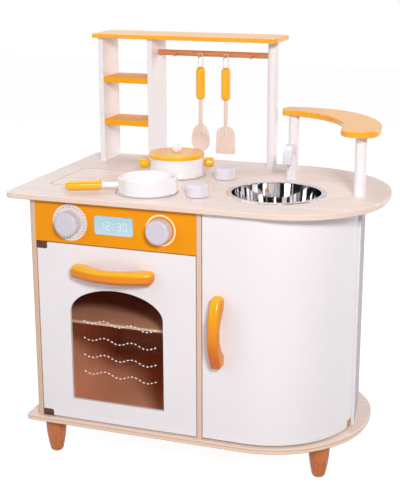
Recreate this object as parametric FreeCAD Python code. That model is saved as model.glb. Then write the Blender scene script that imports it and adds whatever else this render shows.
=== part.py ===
import FreeCAD, Part
import math
import os

# Wooden toy kitchen, in millimetres and degrees.
# Z is up, the front faces -Y, and the origin is on the floor under the middle of the overall box.
# A setback is measured backwards from the front plane of the cabinet, a lead forwards from the rear edge of
# the worktop, and a rise upwards from the board below.

# Fits and cuts
seat_fit = 0.05
running_fit = 0.08
end_play = 0.3
overrun = 5.0
same_point = 1e-6
tenon_length = 5.0
tenon_radius = 5.0

# Cabinet
oven_width = 301.0
carcass_depth = 344.0
panel_thickness = 9.0
back_thickness = 8.0
curved_thickness = 6.0
rear_flat = 91.0
right_panel_length = 118.0
right_panel_lean = 8.0
right_panel_stand = 10.8
ceiling_rise = 3.5
ceiling_thickness = 6.0

# Worktop
worktop_height = 500.0
worktop_thickness = 10.0
worktop_front_overhang = 14.0
worktop_rear_overhang = 36.0
worktop_left_overhang = 43.0
worktop_right_overhang = 40.2
worktop_front_radius = 168.0
worktop_rear_radius = 196.0
worktop_left_radius = 14.0
worktop_round = 1.2

# Bottom board
bottom_height = 70.0
bottom_thickness = 10.0
bottom_front_overhang = 8.5
bottom_rear_overhang = 16.0
bottom_left_overhang = 23.0
bottom_right_overhang = 19.3
bottom_front_radius = 185.0
bottom_rear_radius = 171.0
bottom_left_radius = 8.0
bottom_round = 1.2

# Feet
foot_diameter = 38.5
foot_toe_diameter = 25.5
foot_tip_diameter = 8.0
foot_toe_height = 8.5
foot_swell_radius_share = 0.92
foot_swell_height_share = 0.54
foot_tenon_radius = 6.0
foot_tenon_length = 7.0
left_foot_inset = 44.0
left_foot_setin = 34.0
right_foot_inset = 67.3
right_foot_setin = 93.5

# Oven shelf
shelf_rise = 179.0
shelf_thickness = 5.0
shelf_setback = 24.0
shelf_rear_gap = 6.0
shelf_side_gap = 0.5
cleat_size = 10.0
cleat_setback = 30.0

# Control panel
control_height = 75.5
display_width = 72.0
display_height = 33.5
display_proud = 1.5
display_radius = 5.0
display_edge_round = 0.5
dial_diameter = 65.0
dial_thickness = 1.2
left_knob_offset = 82.5
right_knob_offset = 86.5

# Knobs and their spindles
oven_knob_diameter = 43.5
oven_knob_depth = 19.0
hob_knob_diameter = 39.5
hob_knob_depth = 21.0
knob_crown = 5.0
knob_base_round = 0.8
knob_gap = 1.0
hob_knob_gap = 0.6
spindle_radius = 4.0
spindle_seat = 12.0
collar_radius = 8.0
collar_depth = 5.0

# Hob knob places
hob_knob_inset = 23.0
hob_knob_shift = 2.5

# Oven door
door_thickness = 9.0
door_floor_gap = 2.0
door_head_gap = 2.0
door_free_gap = 1.2
door_round = 0.8
swing_clearance = 0.44
hinge_inset = 9.0
hinge_block_width = 20.0
hinge_block_height = 12.0
hinge_block_recess = 0.8
hinge_block_gap = 1.0
hinge_block_radius = 4.0
pin_radius = 2.0
pin_reach = 11.0
pin_end_play = 0.5
pin_seat = 8.0
head_pin_seat = 10.0

# Oven window
window_width = 177.0
window_sill = 39.5
window_arch = 47.0
window_head = 77.5
rebate_width = 8.0
rebate_play = 0.5
pane_thickness = 3.0
clip_length = 16.0
clip_width = 10.0
clip_thickness = 1.2
clip_bite = 4.0
clip_rise_shares = (0.16, 0.84)

# Bow handles
handle_reach = 36.0
handle_waist = 14.0
handle_foot = 22.0
handle_end = 17.0
handle_round = 7.0
oven_handle_length = 152.0
oven_handle_width = 22.0
oven_handle_drop = 44.8
oven_handle_offset = 2.0
cupboard_handle_length = 127.0
cupboard_handle_width = 20.0
cupboard_handle_rise = 201.0
cupboard_handle_inset = 28.7

# Cupboard door
cupboard_flat = 76.0
cupboard_bend_radius = 160.0
cupboard_thickness = 8.0
cupboard_free_gap = 1.5
cupboard_floor_gap = 3.0
cupboard_head_gap = 3.0
cupboard_hinge_angle = -9.6
cupboard_stub = 9.2
cupboard_block_width = 20.0
cupboard_block_height = 14.0
cupboard_swing_clearance = 0.7

# Door stops, magnets and strikes
stop_width = 14.0
stop_depth = 20.0
stop_height = 30.0
stop_gap = 0.5
magnet_radius = 5.0
magnet_thickness = 4.0
strike_radius = 6.0
strike_thickness = 1.5

# Sink bowl
sink_side_gap = 10.7
sink_setback = 136.0
sink_rim_radius = 88.0
sink_wall_radius = 79.3
sink_foot_radius = 73.0
sink_depth = 60.0
sink_bottom_radius = 22.0
sink_metal = 1.2
sink_hole_gap = 1.0

# Tap
faucet_width = 16.0
faucet_leg = 15.0
faucet_gap = 18.0
faucet_top_rise = 69.0
spout_rise = 35.0
faucet_setback = 248.5
faucet_offset = 2.5
faucet_clear = 0.3
faucet_round = 1.5
pivot_radius = 4.0
pivot_reach = 25.0

# Corner shelf
corner_shelf_rise = 106.0
corner_shelf_thickness = 10.5
corner_shelf_radius = 221.0
corner_shelf_inset = 239.0
corner_shelf_lead = 220.0
corner_back_radius = 144.0
corner_hollow_radius = 156.0
corner_front_angle = -1.0
corner_blend_angle = 50.0
corner_rear_angle = 106.3
corner_hollow_rear_angle = 86.7
corner_tail_inset = 235.5
corner_tail_lead = 44.0
corner_shelf_round = 1.0
post_diameter = 20.0
front_post_inset = 48.5
front_post_lead = 218.4
rear_post_inset = 211.7
rear_post_lead = 50.0

# Rack
rack_left_inset = 44.2
rack_rear_inset = 8.4
rack_shelf_gap = 9.9
rack_height = 241.0
rack_bay = 92.1
plank_thickness = 10.0
plank_depth = 75.0
plank_round = 1.0
low_shelf_rise = 83.0
high_shelf_rise = 166.0
small_shelf_thickness = 10.5
small_shelf_round = 1.0
top_shelf_thickness = 8.0
top_shelf_left_overhang = 9.2
top_shelf_right_overhang = 18.7
top_shelf_front_overhang = 9.6
top_shelf_right_radius = 10.0
top_shelf_left_radius = 4.0
top_shelf_round = 1.0

# Utensil rail and pegs
rail_rise = 213.4
rail_radius = 5.5
rail_seat = 5.0
peg_end_gap = 38.7
peg_count = 4
peg_radius = 2.75
peg_drop = 2.6
peg_reach = 14.0
peg_seat = 3.0
peg_round = 1.0

# Utensils
spoon_peg = 1
spatula_peg = 2
utensil_grip_length = 63.0
utensil_grip_diameter = 17.5
utensil_grip_round = 7.6
utensil_shaft_diameter = 7.5
utensil_shaft_seat = 20.0
utensil_standoff = 6.5
spoon_shaft = 46.0
spoon_bowl_upper = 32.0
spoon_bowl_lower = 22.0
spoon_bowl_width = 36.0
spoon_bowl_thickness = 6.5
spoon_dish_depth = 2.8
spoon_dish_radius = 48.0
spatula_shaft = 50.0
spatula_blade_length = 52.0
spatula_blade_width = 40.0
spatula_neck_width = 34.0
spatula_blade_thickness = 5.0
spatula_shoulder = 13.0
spatula_corner = 4.0
utensil_round = 1.2

# String loops
string_radius = 0.8
loop_drop = 24.4
loop_half_width = 4.6
loop_bend_radius = 3.2
loop_seat = 5.0

# Pot and lid
pot_knob_gap = 25.25
pot_rear_gap_share = 0.2278
pot_radius = 51.0
pot_height = 35.5
pot_wall = 5.0
pot_base = 6.0
pot_round = 3.0
pot_turn = 22.4
pot_grip_radius = 9.2
pot_grip_length = 18.0
pot_grip_round = 5.0
pot_grip_gap = 0.5
pot_grip_rise = 23.0
pot_grip_tenon_radius = 3.0
pot_grip_seat = 3.0
lid_overhang = 1.0
lid_thickness = 7.0
lid_round = 2.0
lid_ring_depth = 4.0
lid_ring_gap = 0.6
lid_ring_wall = 6.0
lid_ball_radius = 9.0
lid_ball_sink = 2.0
lid_ball_tenon_radius = 3.0
lid_ball_seat = 4.0

# Pan
pan_knob_gap = 20.25
pan_front_gap_share = 0.3185
pan_radius = 52.0
pan_height = 28.0
pan_wall = 5.0
pan_base = 6.0
pan_round = 3.0
pan_turn = 205.5
pan_stem_rise = 14.3
pan_stem_radius = 5.0
pan_stem_seat = 3.0
pan_stem_length = 29.0
pan_grip_radius = 8.75
pan_grip_length = 62.5
pan_grip_round = 7.0
pan_grip_tenon_radius = 3.5
pan_grip_seat = 18.0


# Cabinet planes, worked out from the driving dimensions
hinge_radius = cupboard_bend_radius - cupboard_thickness / 2
hinge_turn = math.radians(cupboard_hinge_angle)
end_turn = hinge_turn + cupboard_stub / cupboard_bend_radius
block_turn = end_turn - cupboard_block_width / cupboard_bend_radius
lean = math.radians(right_panel_lean)
along_panel = FreeCAD.Vector(-math.sin(lean), math.cos(lean), 0)
out_of_panel = FreeCAD.Vector(math.cos(lean), math.sin(lean), 0)


def turned_point(radius, turn):
    """Point at a radius and an angle in radians about the origin, in plan."""
    return FreeCAD.Vector(radius * math.cos(turn), radius * math.sin(turn), 0)


hinge_from_bend = turned_point(hinge_radius, hinge_turn)
stub_corner = turned_point(cupboard_bend_radius, end_turn)
stub_swing = (stub_corner - hinge_from_bend).Length + cupboard_swing_clearance
panel_corner_from_hinge = out_of_panel * right_panel_stand + along_panel * stub_swing
cupboard_width = cupboard_flat + hinge_from_bend.x + panel_corner_from_hinge.x

worktop_width = (worktop_left_overhang + panel_thickness + oven_width + panel_thickness
                 + cupboard_width + worktop_right_overhang)
worktop_right = worktop_width / 2
worktop_left = -worktop_right
front = (handle_reach - carcass_depth - worktop_rear_overhang) / 2
left_outer = worktop_left + worktop_left_overhang
left_inner = left_outer + panel_thickness
divider_left = left_inner + oven_width
divider_right = divider_left + panel_thickness
oven_middle = (left_inner + divider_left) / 2
carcass_floor = bottom_height + bottom_thickness
carcass_top = worktop_height - worktop_thickness
control_floor = carcass_top - control_height
worktop_pin_seat = worktop_thickness - tenon_length - 2 * end_play


def back(setback):
    """Y of a plane at a setback behind the front of the cabinet."""
    return front + setback


worktop_front = back(-worktop_front_overhang)
worktop_rear = back(carcass_depth + worktop_rear_overhang)


def ahead(lead):
    """Y of a plane at a lead in front of the rear edge of the worktop."""
    return worktop_rear - lead


bend_center = FreeCAD.Vector(divider_right + cupboard_flat, back(cupboard_bend_radius), 0)
cupboard_hinge = bend_center + hinge_from_bend
panel_corner = cupboard_hinge + panel_corner_from_hinge
carcass_rear = back(carcass_depth)


# Shape helpers


def flat(z):
    """Place outline points in a level plane."""
    return lambda u, v: FreeCAD.Vector(u, v, z)


def upright(y):
    """Place outline points in a plane that faces the front."""
    return lambda u, v: FreeCAD.Vector(u, y, v)


def sideways(x):
    """Place outline points in a plane that faces the side."""
    return lambda u, v: FreeCAD.Vector(x, u, v)


def block(x, y, z):
    """Box between (low, high) pairs."""
    corner = FreeCAD.Vector(x[0], y[0], z[0])
    return Part.makeBox(x[1] - x[0], y[1] - y[0], z[1] - z[0], corner)


def rod(start, end, radius):
    """Round bar from one point to another."""
    along = end - start
    return Part.makeCylinder(radius, along.Length, start, along)


def post(x, y, low, high, radius):
    """Upright round bar."""
    return rod(FreeCAD.Vector(x, y, low), FreeCAD.Vector(x, y, high), radius)


def arc(start, middle, end):
    """Edge of a circle through three points."""
    return Part.Arc(start, middle, end).toShape()


def line(start, end):
    """Straight edge."""
    return Part.LineSegment(start, end).toShape()


def outline(corners, place):
    """Face inside (u, v, radius) corners, each rounded by a tangent arc."""
    spans = []
    for index, (u, v, radius) in enumerate(corners):
        corner = FreeCAD.Vector(u, v, 0)
        before = FreeCAD.Vector(*corners[index - 1][:2], 0)
        after = FreeCAD.Vector(*corners[(index + 1) % len(corners)][:2], 0)
        to_before = (before - corner).normalize()
        to_after = (after - corner).normalize()
        half = to_before.getAngle(to_after) / 2
        reach = radius / math.tan(half)
        inwards = (to_before + to_after).normalize()
        middle = corner + inwards * (radius / math.sin(half) - radius)
        spans.append((corner + to_before * reach, middle, corner + to_after * reach))
    edges = []
    for index, (start, middle, end) in enumerate(spans):
        previous = spans[index - 1][2]
        if not previous.isEqual(start, same_point):
            edges.append(line(place(previous.x, previous.y), place(start.x, start.y)))
        if corners[index][2] > 0:
            edges.append(arc(place(start.x, start.y), place(middle.x, middle.y), place(end.x, end.y)))
    return Part.Face(Part.Wire(edges))


def plate(corners, low, high):
    """Level board with rounded corners, between two heights."""
    return outline(corners, flat(low)).extrude(FreeCAD.Vector(0, 0, high - low))


def turned(corners):
    """Solid turned about Z from (radius, height, rounding) corners."""
    return outline(corners, upright(0)).revolve(FreeCAD.Vector(), FreeCAD.Vector(0, 0, 1), 360)


def aimed(shape, place, direction):
    """Copy of a shape made along Z, set at a place and turned to a direction."""
    copy = shape.copy()
    turn = FreeCAD.Rotation(FreeCAD.Vector(0, 0, 1), direction)
    copy.Placement = FreeCAD.Placement(place, turn)
    return copy


def level_edges(shape, *heights):
    """Edges of a shape that lie in one of the level planes."""
    found = []
    for edge in shape.Edges:
        box = edge.BoundBox
        for height in heights:
            if abs(box.ZMin - height) + abs(box.ZMax - height) < seat_fit:
                found.append(edge)
    return found


def eased_board(corners, low, high, rounding):
    """Level board whose top and bottom edges are rounded over."""
    board = plate(corners, low, high)
    return board.makeFillet(rounding, level_edges(board, low, high))


def facing_edges(shape, y):
    """Edges of a shape that lie in one upright plane facing the front."""
    return [edge for edge in shape.Edges
            if abs(edge.BoundBox.YMin - y) + abs(edge.BoundBox.YMax - y) < seat_fit]


def whole(shape):
    """Shape without the seams that joining leaves."""
    return shape.removeSplitter()


parts = {}

# Worktop and bottom board

sink_x = divider_right + sink_side_gap + sink_wall_radius
sink_y = back(sink_setback)
sink_hole_radius = sink_wall_radius + sink_hole_gap
faucet_x = sink_x - faucet_offset
faucet_y = back(faucet_setback)
plank_rear = ahead(rack_rear_inset)
plank_front = plank_rear - plank_depth
hob_free = plank_front - worktop_front - 2 * (pan_radius + pot_radius)
pan_y = worktop_front + hob_free * pan_front_gap_share + pan_radius
pot_y = plank_front - hob_free * pot_rear_gap_share - pot_radius
hob_knob_x = divider_left - hob_knob_inset
hob_knob_left = hob_knob_x - hob_knob_diameter / 2
hob_knob_ys = {"front": pan_y - hob_knob_shift, "rear": pot_y - hob_knob_shift}
rail_y = (plank_front + plank_rear) / 2
left_plank_x = worktop_left + rack_left_inset
middle_plank_x = left_plank_x + plank_thickness + rack_bay
rail_start = middle_plank_x + plank_thickness
post_radius = post_diameter / 2
corner_tail_x = worktop_right - corner_tail_inset
rack_post_x = corner_tail_x - rack_shelf_gap - post_radius
rail_span = rack_post_x - rail_start
corner_posts = [(worktop_right - front_post_inset, ahead(front_post_lead)),
                (worktop_right - rear_post_inset, ahead(rear_post_lead))]
bottom_left = left_outer - bottom_left_overhang
bottom_right = panel_corner.x + bottom_right_overhang
bottom_front = back(-bottom_front_overhang)
bottom_rear = carcass_rear + bottom_rear_overhang

door_left_gap = math.hypot(hinge_inset, door_thickness / 2) - hinge_inset + swing_clearance
door_left = left_inner + door_left_gap
door_right = divider_left - door_free_gap
door_floor = carcass_floor + door_floor_gap
door_head = control_floor - door_head_gap
window_side = door_head - door_floor - window_sill - window_arch - window_head
oven_hinge = FreeCAD.Vector(door_left + hinge_inset, back(door_thickness / 2), 0)
pin_hole_radius = pin_radius + running_fit
tenon_hole_radius = tenon_radius + seat_fit


def socket(x, y, mouth, depth, radius):
    """Blind round hole cut from a mouth height, downwards for a positive depth."""
    beyond = math.copysign(overrun, depth)
    low, high = sorted((mouth - depth, mouth + beyond))
    return post(x, y, low, high, radius)


def end_radii(front_radius, rear_radius, depth):
    """Radii of a board's two round corners, limited by its depth."""
    limit = min(1, depth / (front_radius + rear_radius))
    return front_radius * limit, rear_radius * limit


def make_worktop():
    """Top board with the sink hole, spindle holes and sockets for what stands on it."""
    front_radius, rear_radius = end_radii(worktop_front_radius, worktop_rear_radius,
                                          worktop_rear - worktop_front)
    corners = [(worktop_left, worktop_front, worktop_left_radius),
               (worktop_right, worktop_front, front_radius),
               (worktop_right, worktop_rear, rear_radius),
               (worktop_left, worktop_rear, worktop_left_radius)]
    board = eased_board(corners, carcass_top, worktop_height, worktop_round)
    through = worktop_thickness + overrun
    cuts = [socket(sink_x, sink_y, worktop_height, through, sink_hole_radius)]
    for y in hob_knob_ys.values():
        cuts.append(socket(hob_knob_x, y, worktop_height, through, spindle_radius + running_fit))
    cuts.append(socket(faucet_x, faucet_y, worktop_height, through, pivot_radius + seat_fit))
    for x, y in corner_posts + [(rack_post_x, rail_y)]:
        cuts.append(socket(x, y, worktop_height, tenon_length + end_play, tenon_hole_radius))
    cuts.append(socket(cupboard_hinge.x, cupboard_hinge.y, carcass_top, -worktop_pin_seat, pin_hole_radius))
    return board.cut(cuts)


foot_places = [(bottom_left + left_foot_inset, bottom_front + left_foot_setin),
               (bottom_left + left_foot_inset, bottom_rear - left_foot_setin),
               (bottom_right - right_foot_inset, bottom_front + right_foot_setin),
               (bottom_right - right_foot_inset, bottom_rear - right_foot_setin)]


def make_bottom_board():
    """Bottom board with sockets for the feet below and the lower hinge pins above."""
    front_radius, rear_radius = end_radii(bottom_front_radius, bottom_rear_radius, bottom_rear - bottom_front)
    corners = [(bottom_left, bottom_front, bottom_left_radius),
               (bottom_right, bottom_front, front_radius),
               (bottom_right, bottom_rear, rear_radius),
               (bottom_left, bottom_rear, bottom_left_radius)]
    board = eased_board(corners, bottom_height, carcass_floor, bottom_round)
    cuts = []
    for x, y in foot_places:
        depth = foot_tenon_length + end_play
        cuts.append(socket(x, y, bottom_height, -depth, foot_tenon_radius + seat_fit))
    for hinge in (oven_hinge, cupboard_hinge):
        cuts.append(socket(hinge.x, hinge.y, carcass_floor, pin_seat, pin_hole_radius))
    return board.cut(cuts)


def make_foot():
    """Turned bullet foot with a tenon on top, standing at the origin."""
    tip = foot_tip_diameter / 2
    toe = foot_toe_diameter / 2
    top = foot_diameter / 2
    place = upright(0)
    eased = math.sqrt(0.5)
    tip_bend = place(tip + (toe - tip) * eased, foot_toe_height * (1 - eased))
    swell = place(top * foot_swell_radius_share, bottom_height * foot_swell_height_share)
    tenon_top = bottom_height + foot_tenon_length
    edges = [line(place(0, 0), place(tip, 0)),
             arc(place(tip, 0), tip_bend, place(toe, foot_toe_height)),
             arc(place(toe, foot_toe_height), swell, place(top, bottom_height)),
             line(place(top, bottom_height), place(foot_tenon_radius, bottom_height)),
             line(place(foot_tenon_radius, bottom_height), place(foot_tenon_radius, tenon_top)),
             line(place(foot_tenon_radius, tenon_top), place(0, tenon_top)),
             line(place(0, tenon_top), place(0, 0))]
    face = Part.Face(Part.Wire(edges))
    return face.revolve(FreeCAD.Vector(), FreeCAD.Vector(0, 0, 1), 360)


foot = make_foot()
parts["worktop"] = make_worktop()
parts["bottom_board"] = make_bottom_board()
parts["feet"] = Part.makeCompound([foot.translated(FreeCAD.Vector(x, y, 0)) for x, y in foot_places])

# Upright panels

panel_z = (carcass_floor, carcass_top)
back_front = carcass_rear - back_thickness
rear_flat_end = divider_right + rear_flat


def along_right_panel(distance, inwards):
    """Point on the leaning right panel, back along it and inwards from its outer face."""
    return panel_corner + along_panel * distance - out_of_panel * inwards


def make_right_panel():
    """Leaning panel beside the cupboard door."""
    points = [along_right_panel(0, 0), along_right_panel(right_panel_length, 0),
              along_right_panel(right_panel_length, panel_thickness), along_right_panel(0, panel_thickness)]
    return plate([(p.x, p.y, 0) for p in points], *panel_z)


def make_rear_curved_panel():
    """Bent sheet from the end of the back panel round to the rear edge of the right panel."""
    edge = along_right_panel(right_panel_length, panel_thickness / 2)
    across = edge.x - rear_flat_end
    short = carcass_rear - edge.y
    half = curved_thickness / 2
    radius = (across ** 2 + short ** 2 - half ** 2) / (2 * (short - half))
    center = FreeCAD.Vector(rear_flat_end, carcass_rear - radius, carcass_floor)
    height = carcass_top - carcass_floor
    ring = Part.makeCylinder(radius, height, center)
    ring = ring.cut(Part.makeCylinder(radius - curved_thickness, height, center))
    quarter = block((rear_flat_end, rear_flat_end + radius + overrun),
                    (center.y - radius, carcass_rear + overrun), panel_z)
    reach = 2 * radius
    ahead_corners = [along_right_panel(right_panel_length, -reach),
                     along_right_panel(right_panel_length, reach),
                     along_right_panel(-reach, reach), along_right_panel(-reach, -reach)]
    ahead_of_edge = plate([(p.x, p.y, 0) for p in ahead_corners], *panel_z)
    return ring.common(quarter).cut(ahead_of_edge)


parts["left_panel"] = block((left_outer, left_inner), (front, carcass_rear), panel_z)
parts["divider_panel"] = block((divider_left, divider_right), (front, back_front), panel_z)
parts["back_panel"] = block((left_inner, rear_flat_end), (back_front, carcass_rear), panel_z)
parts["right_panel"] = make_right_panel()
parts["rear_curved_panel"] = make_rear_curved_panel()

ceiling_floor = control_floor + ceiling_rise
parts["oven_ceiling"] = block((left_inner, divider_left), (back(panel_thickness), back_front),
                              (ceiling_floor, ceiling_floor + ceiling_thickness))

# Oven shelf on its cleats

shelf_floor = carcass_floor + shelf_rise
shelf_rear = back_front - shelf_rear_gap
cleats = []
for low in (left_inner, divider_left - cleat_size):
    cleats.append(block((low, low + cleat_size), (back(cleat_setback), shelf_rear),
                        (shelf_floor - cleat_size, shelf_floor)))
parts["oven_shelf"] = block((left_inner + shelf_side_gap, divider_left - shelf_side_gap),
                            (back(shelf_setback), shelf_rear),
                            (shelf_floor, shelf_floor + shelf_thickness))
parts["shelf_cleats"] = Part.makeCompound(cleats)

# Control panel, its plates and its knobs

control_middle = (control_floor + carcass_top) / 2
left_knob_x = oven_middle - left_knob_offset
right_knob_x = oven_middle + right_knob_offset


def make_control_panel():
    """Board above the oven door, with spindle holes and the socket of the upper hinge pin."""
    board = block((left_inner, divider_left), (front, back(panel_thickness)), (control_floor, carcass_top))
    cuts = [socket(oven_hinge.x, oven_hinge.y, control_floor, -head_pin_seat, pin_hole_radius)]
    for x in (left_knob_x, right_knob_x):
        start = FreeCAD.Vector(x, back(-overrun), control_middle)
        end = FreeCAD.Vector(x, back(panel_thickness + overrun), control_middle)
        cuts.append(rod(start, end, spindle_radius + running_fit))
    return board.cut(cuts)


def make_display_plate():
    """Display plate with rounded corners, standing a little proud of the control panel."""
    left = oven_middle - display_width / 2
    right = oven_middle + display_width / 2
    low = control_middle - display_height / 2
    high = control_middle + display_height / 2
    corners = [(left, low, display_radius), (right, low, display_radius),
               (right, high, display_radius), (left, high, display_radius)]
    display = outline(corners, upright(front)).extrude(FreeCAD.Vector(0, -display_proud, 0))
    return display.makeFillet(display_edge_round, facing_edges(display, front - display_proud))


def make_dial_plate():
    """Round plate behind the left oven knob."""
    face = FreeCAD.Vector(left_knob_x, front, control_middle)
    dial = rod(face, face - FreeCAD.Vector(0, dial_thickness, 0), dial_diameter / 2)
    hole = rod(face + FreeCAD.Vector(0, overrun, 0), face - FreeCAD.Vector(0, overrun, 0),
               spindle_radius + running_fit)
    return dial.cut(hole)


def make_knob(diameter, depth):
    """Rounded knob along Z with its base at the origin and a blind hole for its spindle."""
    radius = diameter / 2
    body = turned([(0, 0, 0), (radius, 0, knob_base_round), (radius, depth, knob_crown), (0, depth, 0)])
    hole = post(0, 0, -overrun, spindle_seat + end_play, spindle_radius + seat_fit)
    return body.cut(hole)


def make_spindle(gap, board):
    """Headed spindle along Z for a knob that stands a gap above a board."""
    collar_top = -gap - board - end_play
    collar_floor = collar_top - collar_depth
    shaft = post(0, 0, collar_floor, spindle_seat, spindle_radius)
    collar = post(0, 0, collar_floor, collar_top, collar_radius)
    return whole(shaft.fuse(collar))


forward = FreeCAD.Vector(0, -1, 0)
upward = FreeCAD.Vector(0, 0, 1)
oven_knob = make_knob(oven_knob_diameter, oven_knob_depth)
hob_knob = make_knob(hob_knob_diameter, hob_knob_depth)
for side, x, gap in (("left", left_knob_x, dial_thickness + knob_gap), ("right", right_knob_x, knob_gap)):
    base = FreeCAD.Vector(x, back(-gap), control_middle)
    parts[side + "_oven_knob"] = aimed(oven_knob, base, forward)
    parts[side + "_knob_spindle"] = aimed(make_spindle(gap, panel_thickness), base, forward)
for side, y in hob_knob_ys.items():
    base = FreeCAD.Vector(hob_knob_x, y, worktop_height + hob_knob_gap)
    parts[side + "_hob_knob"] = aimed(hob_knob, base, upward)
    parts[side + "_hob_spindle"] = aimed(make_spindle(hob_knob_gap, worktop_thickness), base, upward)
parts["control_panel"] = make_control_panel()
parts["display_plate"] = make_display_plate()
parts["dial_plate"] = make_dial_plate()

# Bow handles


def make_bow(length, width):
    """Bow handle along X, seated on the plane y = 0 and standing out towards the front."""
    place = flat(-width / 2)
    half = length / 2
    inner = half - handle_foot
    edges = [line(place(-half, 0), place(-inner, 0)),
             arc(place(-inner, 0), place(0, handle_waist - handle_reach), place(inner, 0)),
             line(place(inner, 0), place(half, 0)),
             line(place(half, 0), place(half, -handle_end)),
             arc(place(half, -handle_end), place(0, -handle_reach), place(-half, -handle_end)),
             line(place(-half, -handle_end), place(-half, 0))]
    bow = Part.Face(Part.Wire(edges)).extrude(FreeCAD.Vector(0, 0, width))
    front_edges = [edge for edge in bow.Edges if edge.BoundBox.YMax < -handle_end + seat_fit]
    end_edges = [edge for edge in bow.Edges if edge.BoundBox.YLength > handle_end - seat_fit
                 and edge.BoundBox.XLength < seat_fit]
    return bow.makeFillet(handle_round, front_edges + end_edges)


# Oven door

door_middle = (door_left + door_right) / 2
door_rear = back(door_thickness)
block_inner = door_left + hinge_block_width
stop_middle = (shelf_floor + shelf_thickness + door_head) / 2
oven_stop_x = divider_left - stop_width / 2
cupboard_stop_x = divider_right + stop_width / 2


def arched(widen, y, depth):
    """Window opening, widened all round, as a solid that runs backwards from a plane."""
    half = window_width / 2 + widen
    sill = door_floor + window_sill - widen
    spring = door_floor + window_sill + window_side
    place = upright(y)
    right = place(door_middle + half, spring)
    left = place(door_middle - half, spring)
    top = place(door_middle, spring + window_arch + widen)
    ellipse = Part.Ellipse(right, top, place(door_middle, spring))
    edges = [line(place(door_middle - half, sill), place(door_middle + half, sill)),
             line(place(door_middle + half, sill), right),
             Part.ArcOfEllipse(ellipse, 0, math.pi).toShape(),
             line(left, place(door_middle - half, sill))]
    return Part.Face(Part.Wire(edges)).extrude(FreeCAD.Vector(0, depth, 0))


def hinge_notch(inside, outside, left, y, depth):
    """Corner notch of the oven door, or the block in it, between two heights."""
    corners = [(left, outside, 0), (block_inner, outside, 0), (block_inner, inside, hinge_block_radius),
               (left, inside, 0)]
    return outline(corners, upright(y)).extrude(FreeCAD.Vector(0, depth, 0))


oven_block_heights = [(door_floor + hinge_block_height, carcass_floor + hinge_block_gap),
                      (door_head - hinge_block_height, control_floor - hinge_block_gap)]


def make_oven_door():
    """Door board with its window, pane rebate, hinge notches and strike recess."""
    board = block((door_left, door_right), (front, door_rear), (door_floor, door_head))
    board = board.makeFillet(door_round, facing_edges(board, front))
    cuts = [arched(0, back(-overrun), door_thickness + 2 * overrun),
            arched(rebate_width, door_rear - pane_thickness, pane_thickness + overrun)]
    for inside, outside in oven_block_heights:
        beyond = outside + math.copysign(overrun, outside - inside)
        cuts.append(hinge_notch(inside, beyond, door_left - overrun, back(-overrun),
                                door_thickness + 2 * overrun))
    recess = FreeCAD.Vector(oven_stop_x, door_rear - strike_thickness, stop_middle)
    cuts.append(rod(recess, recess + FreeCAD.Vector(0, strike_thickness + overrun, 0),
                    strike_radius + seat_fit))
    return board.cut(cuts)


def make_window_clips():
    """Turn clips on the back of the door that hold the pane in its rebate."""
    clips = []
    edge = window_width / 2 + rebate_width
    for share in clip_rise_shares:
        height = door_floor + window_sill + window_side * share
        for side in (-1, 1):
            inner = door_middle + side * (edge - clip_bite)
            outer = inner + side * clip_length
            clips.append(block(sorted((inner, outer)), (door_rear, door_rear + clip_thickness),
                               (height - clip_width / 2, height + clip_width / 2)))
    sill = door_floor + window_sill - rebate_width
    crown = door_floor + window_sill + window_side + window_arch + rebate_width
    for inner, outer in ((sill + clip_bite, sill + clip_bite - clip_length),
                         (crown - clip_bite, crown - clip_bite + clip_length)):
        clips.append(block((door_middle - clip_width / 2, door_middle + clip_width / 2),
                           (door_rear, door_rear + clip_thickness), sorted((inner, outer))))
    return Part.makeCompound(clips)


def make_oven_hinge_blocks():
    """Two blocks that fill the notches of the oven door and turn on the hinge pins."""
    blocks = []
    for inside, outside in oven_block_heights:
        body = hinge_notch(inside, outside, door_left, back(hinge_block_recess),
                           door_thickness - 2 * hinge_block_recess)
        depth = math.copysign(pin_reach + pin_end_play, outside - inside)
        hole = socket(oven_hinge.x, oven_hinge.y, outside, depth, pin_hole_radius)
        blocks.append(body.cut(hole))
    return Part.makeCompound(blocks)


oven_handle = make_bow(oven_handle_length, oven_handle_width)
parts["oven_door"] = make_oven_door()
parts["oven_window"] = arched(rebate_width - rebate_play, door_rear - pane_thickness, pane_thickness)
parts["window_clips"] = make_window_clips()
oven_handle_place = FreeCAD.Vector(door_middle - oven_handle_offset, front, door_head - oven_handle_drop)
parts["oven_handle"] = oven_handle.translated(oven_handle_place)
parts["oven_hinge_blocks"] = make_oven_hinge_blocks()

# Cupboard door

cupboard_left = divider_right + cupboard_free_gap
cupboard_floor = carcass_floor + cupboard_floor_gap
cupboard_head = carcass_top - cupboard_head_gap
inner_bend_radius = cupboard_bend_radius - cupboard_thickness
front_turn = math.radians(-90)


def bend_point(radius, turn):
    """Point at a radius and a turn about the middle of the door's bend."""
    return bend_center + turned_point(radius, turn)


def bend_sector(inner, outer, start, end, low, high):
    """Bent piece between two radii, two turns and two heights."""
    middle = (start + end) / 2
    edges = [arc(bend_point(outer, start), bend_point(outer, middle), bend_point(outer, end)),
             line(bend_point(outer, end), bend_point(inner, end)),
             arc(bend_point(inner, end), bend_point(inner, middle), bend_point(inner, start)),
             line(bend_point(inner, start), bend_point(outer, start))]
    face = Part.Face(Part.Wire(edges)).translated(FreeCAD.Vector(0, 0, low))
    return face.extrude(FreeCAD.Vector(0, 0, high - low))


cupboard_block_heights = [(cupboard_floor + cupboard_block_height, carcass_floor + hinge_block_gap),
                          (cupboard_head - cupboard_block_height, carcass_top - hinge_block_gap)]


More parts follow.
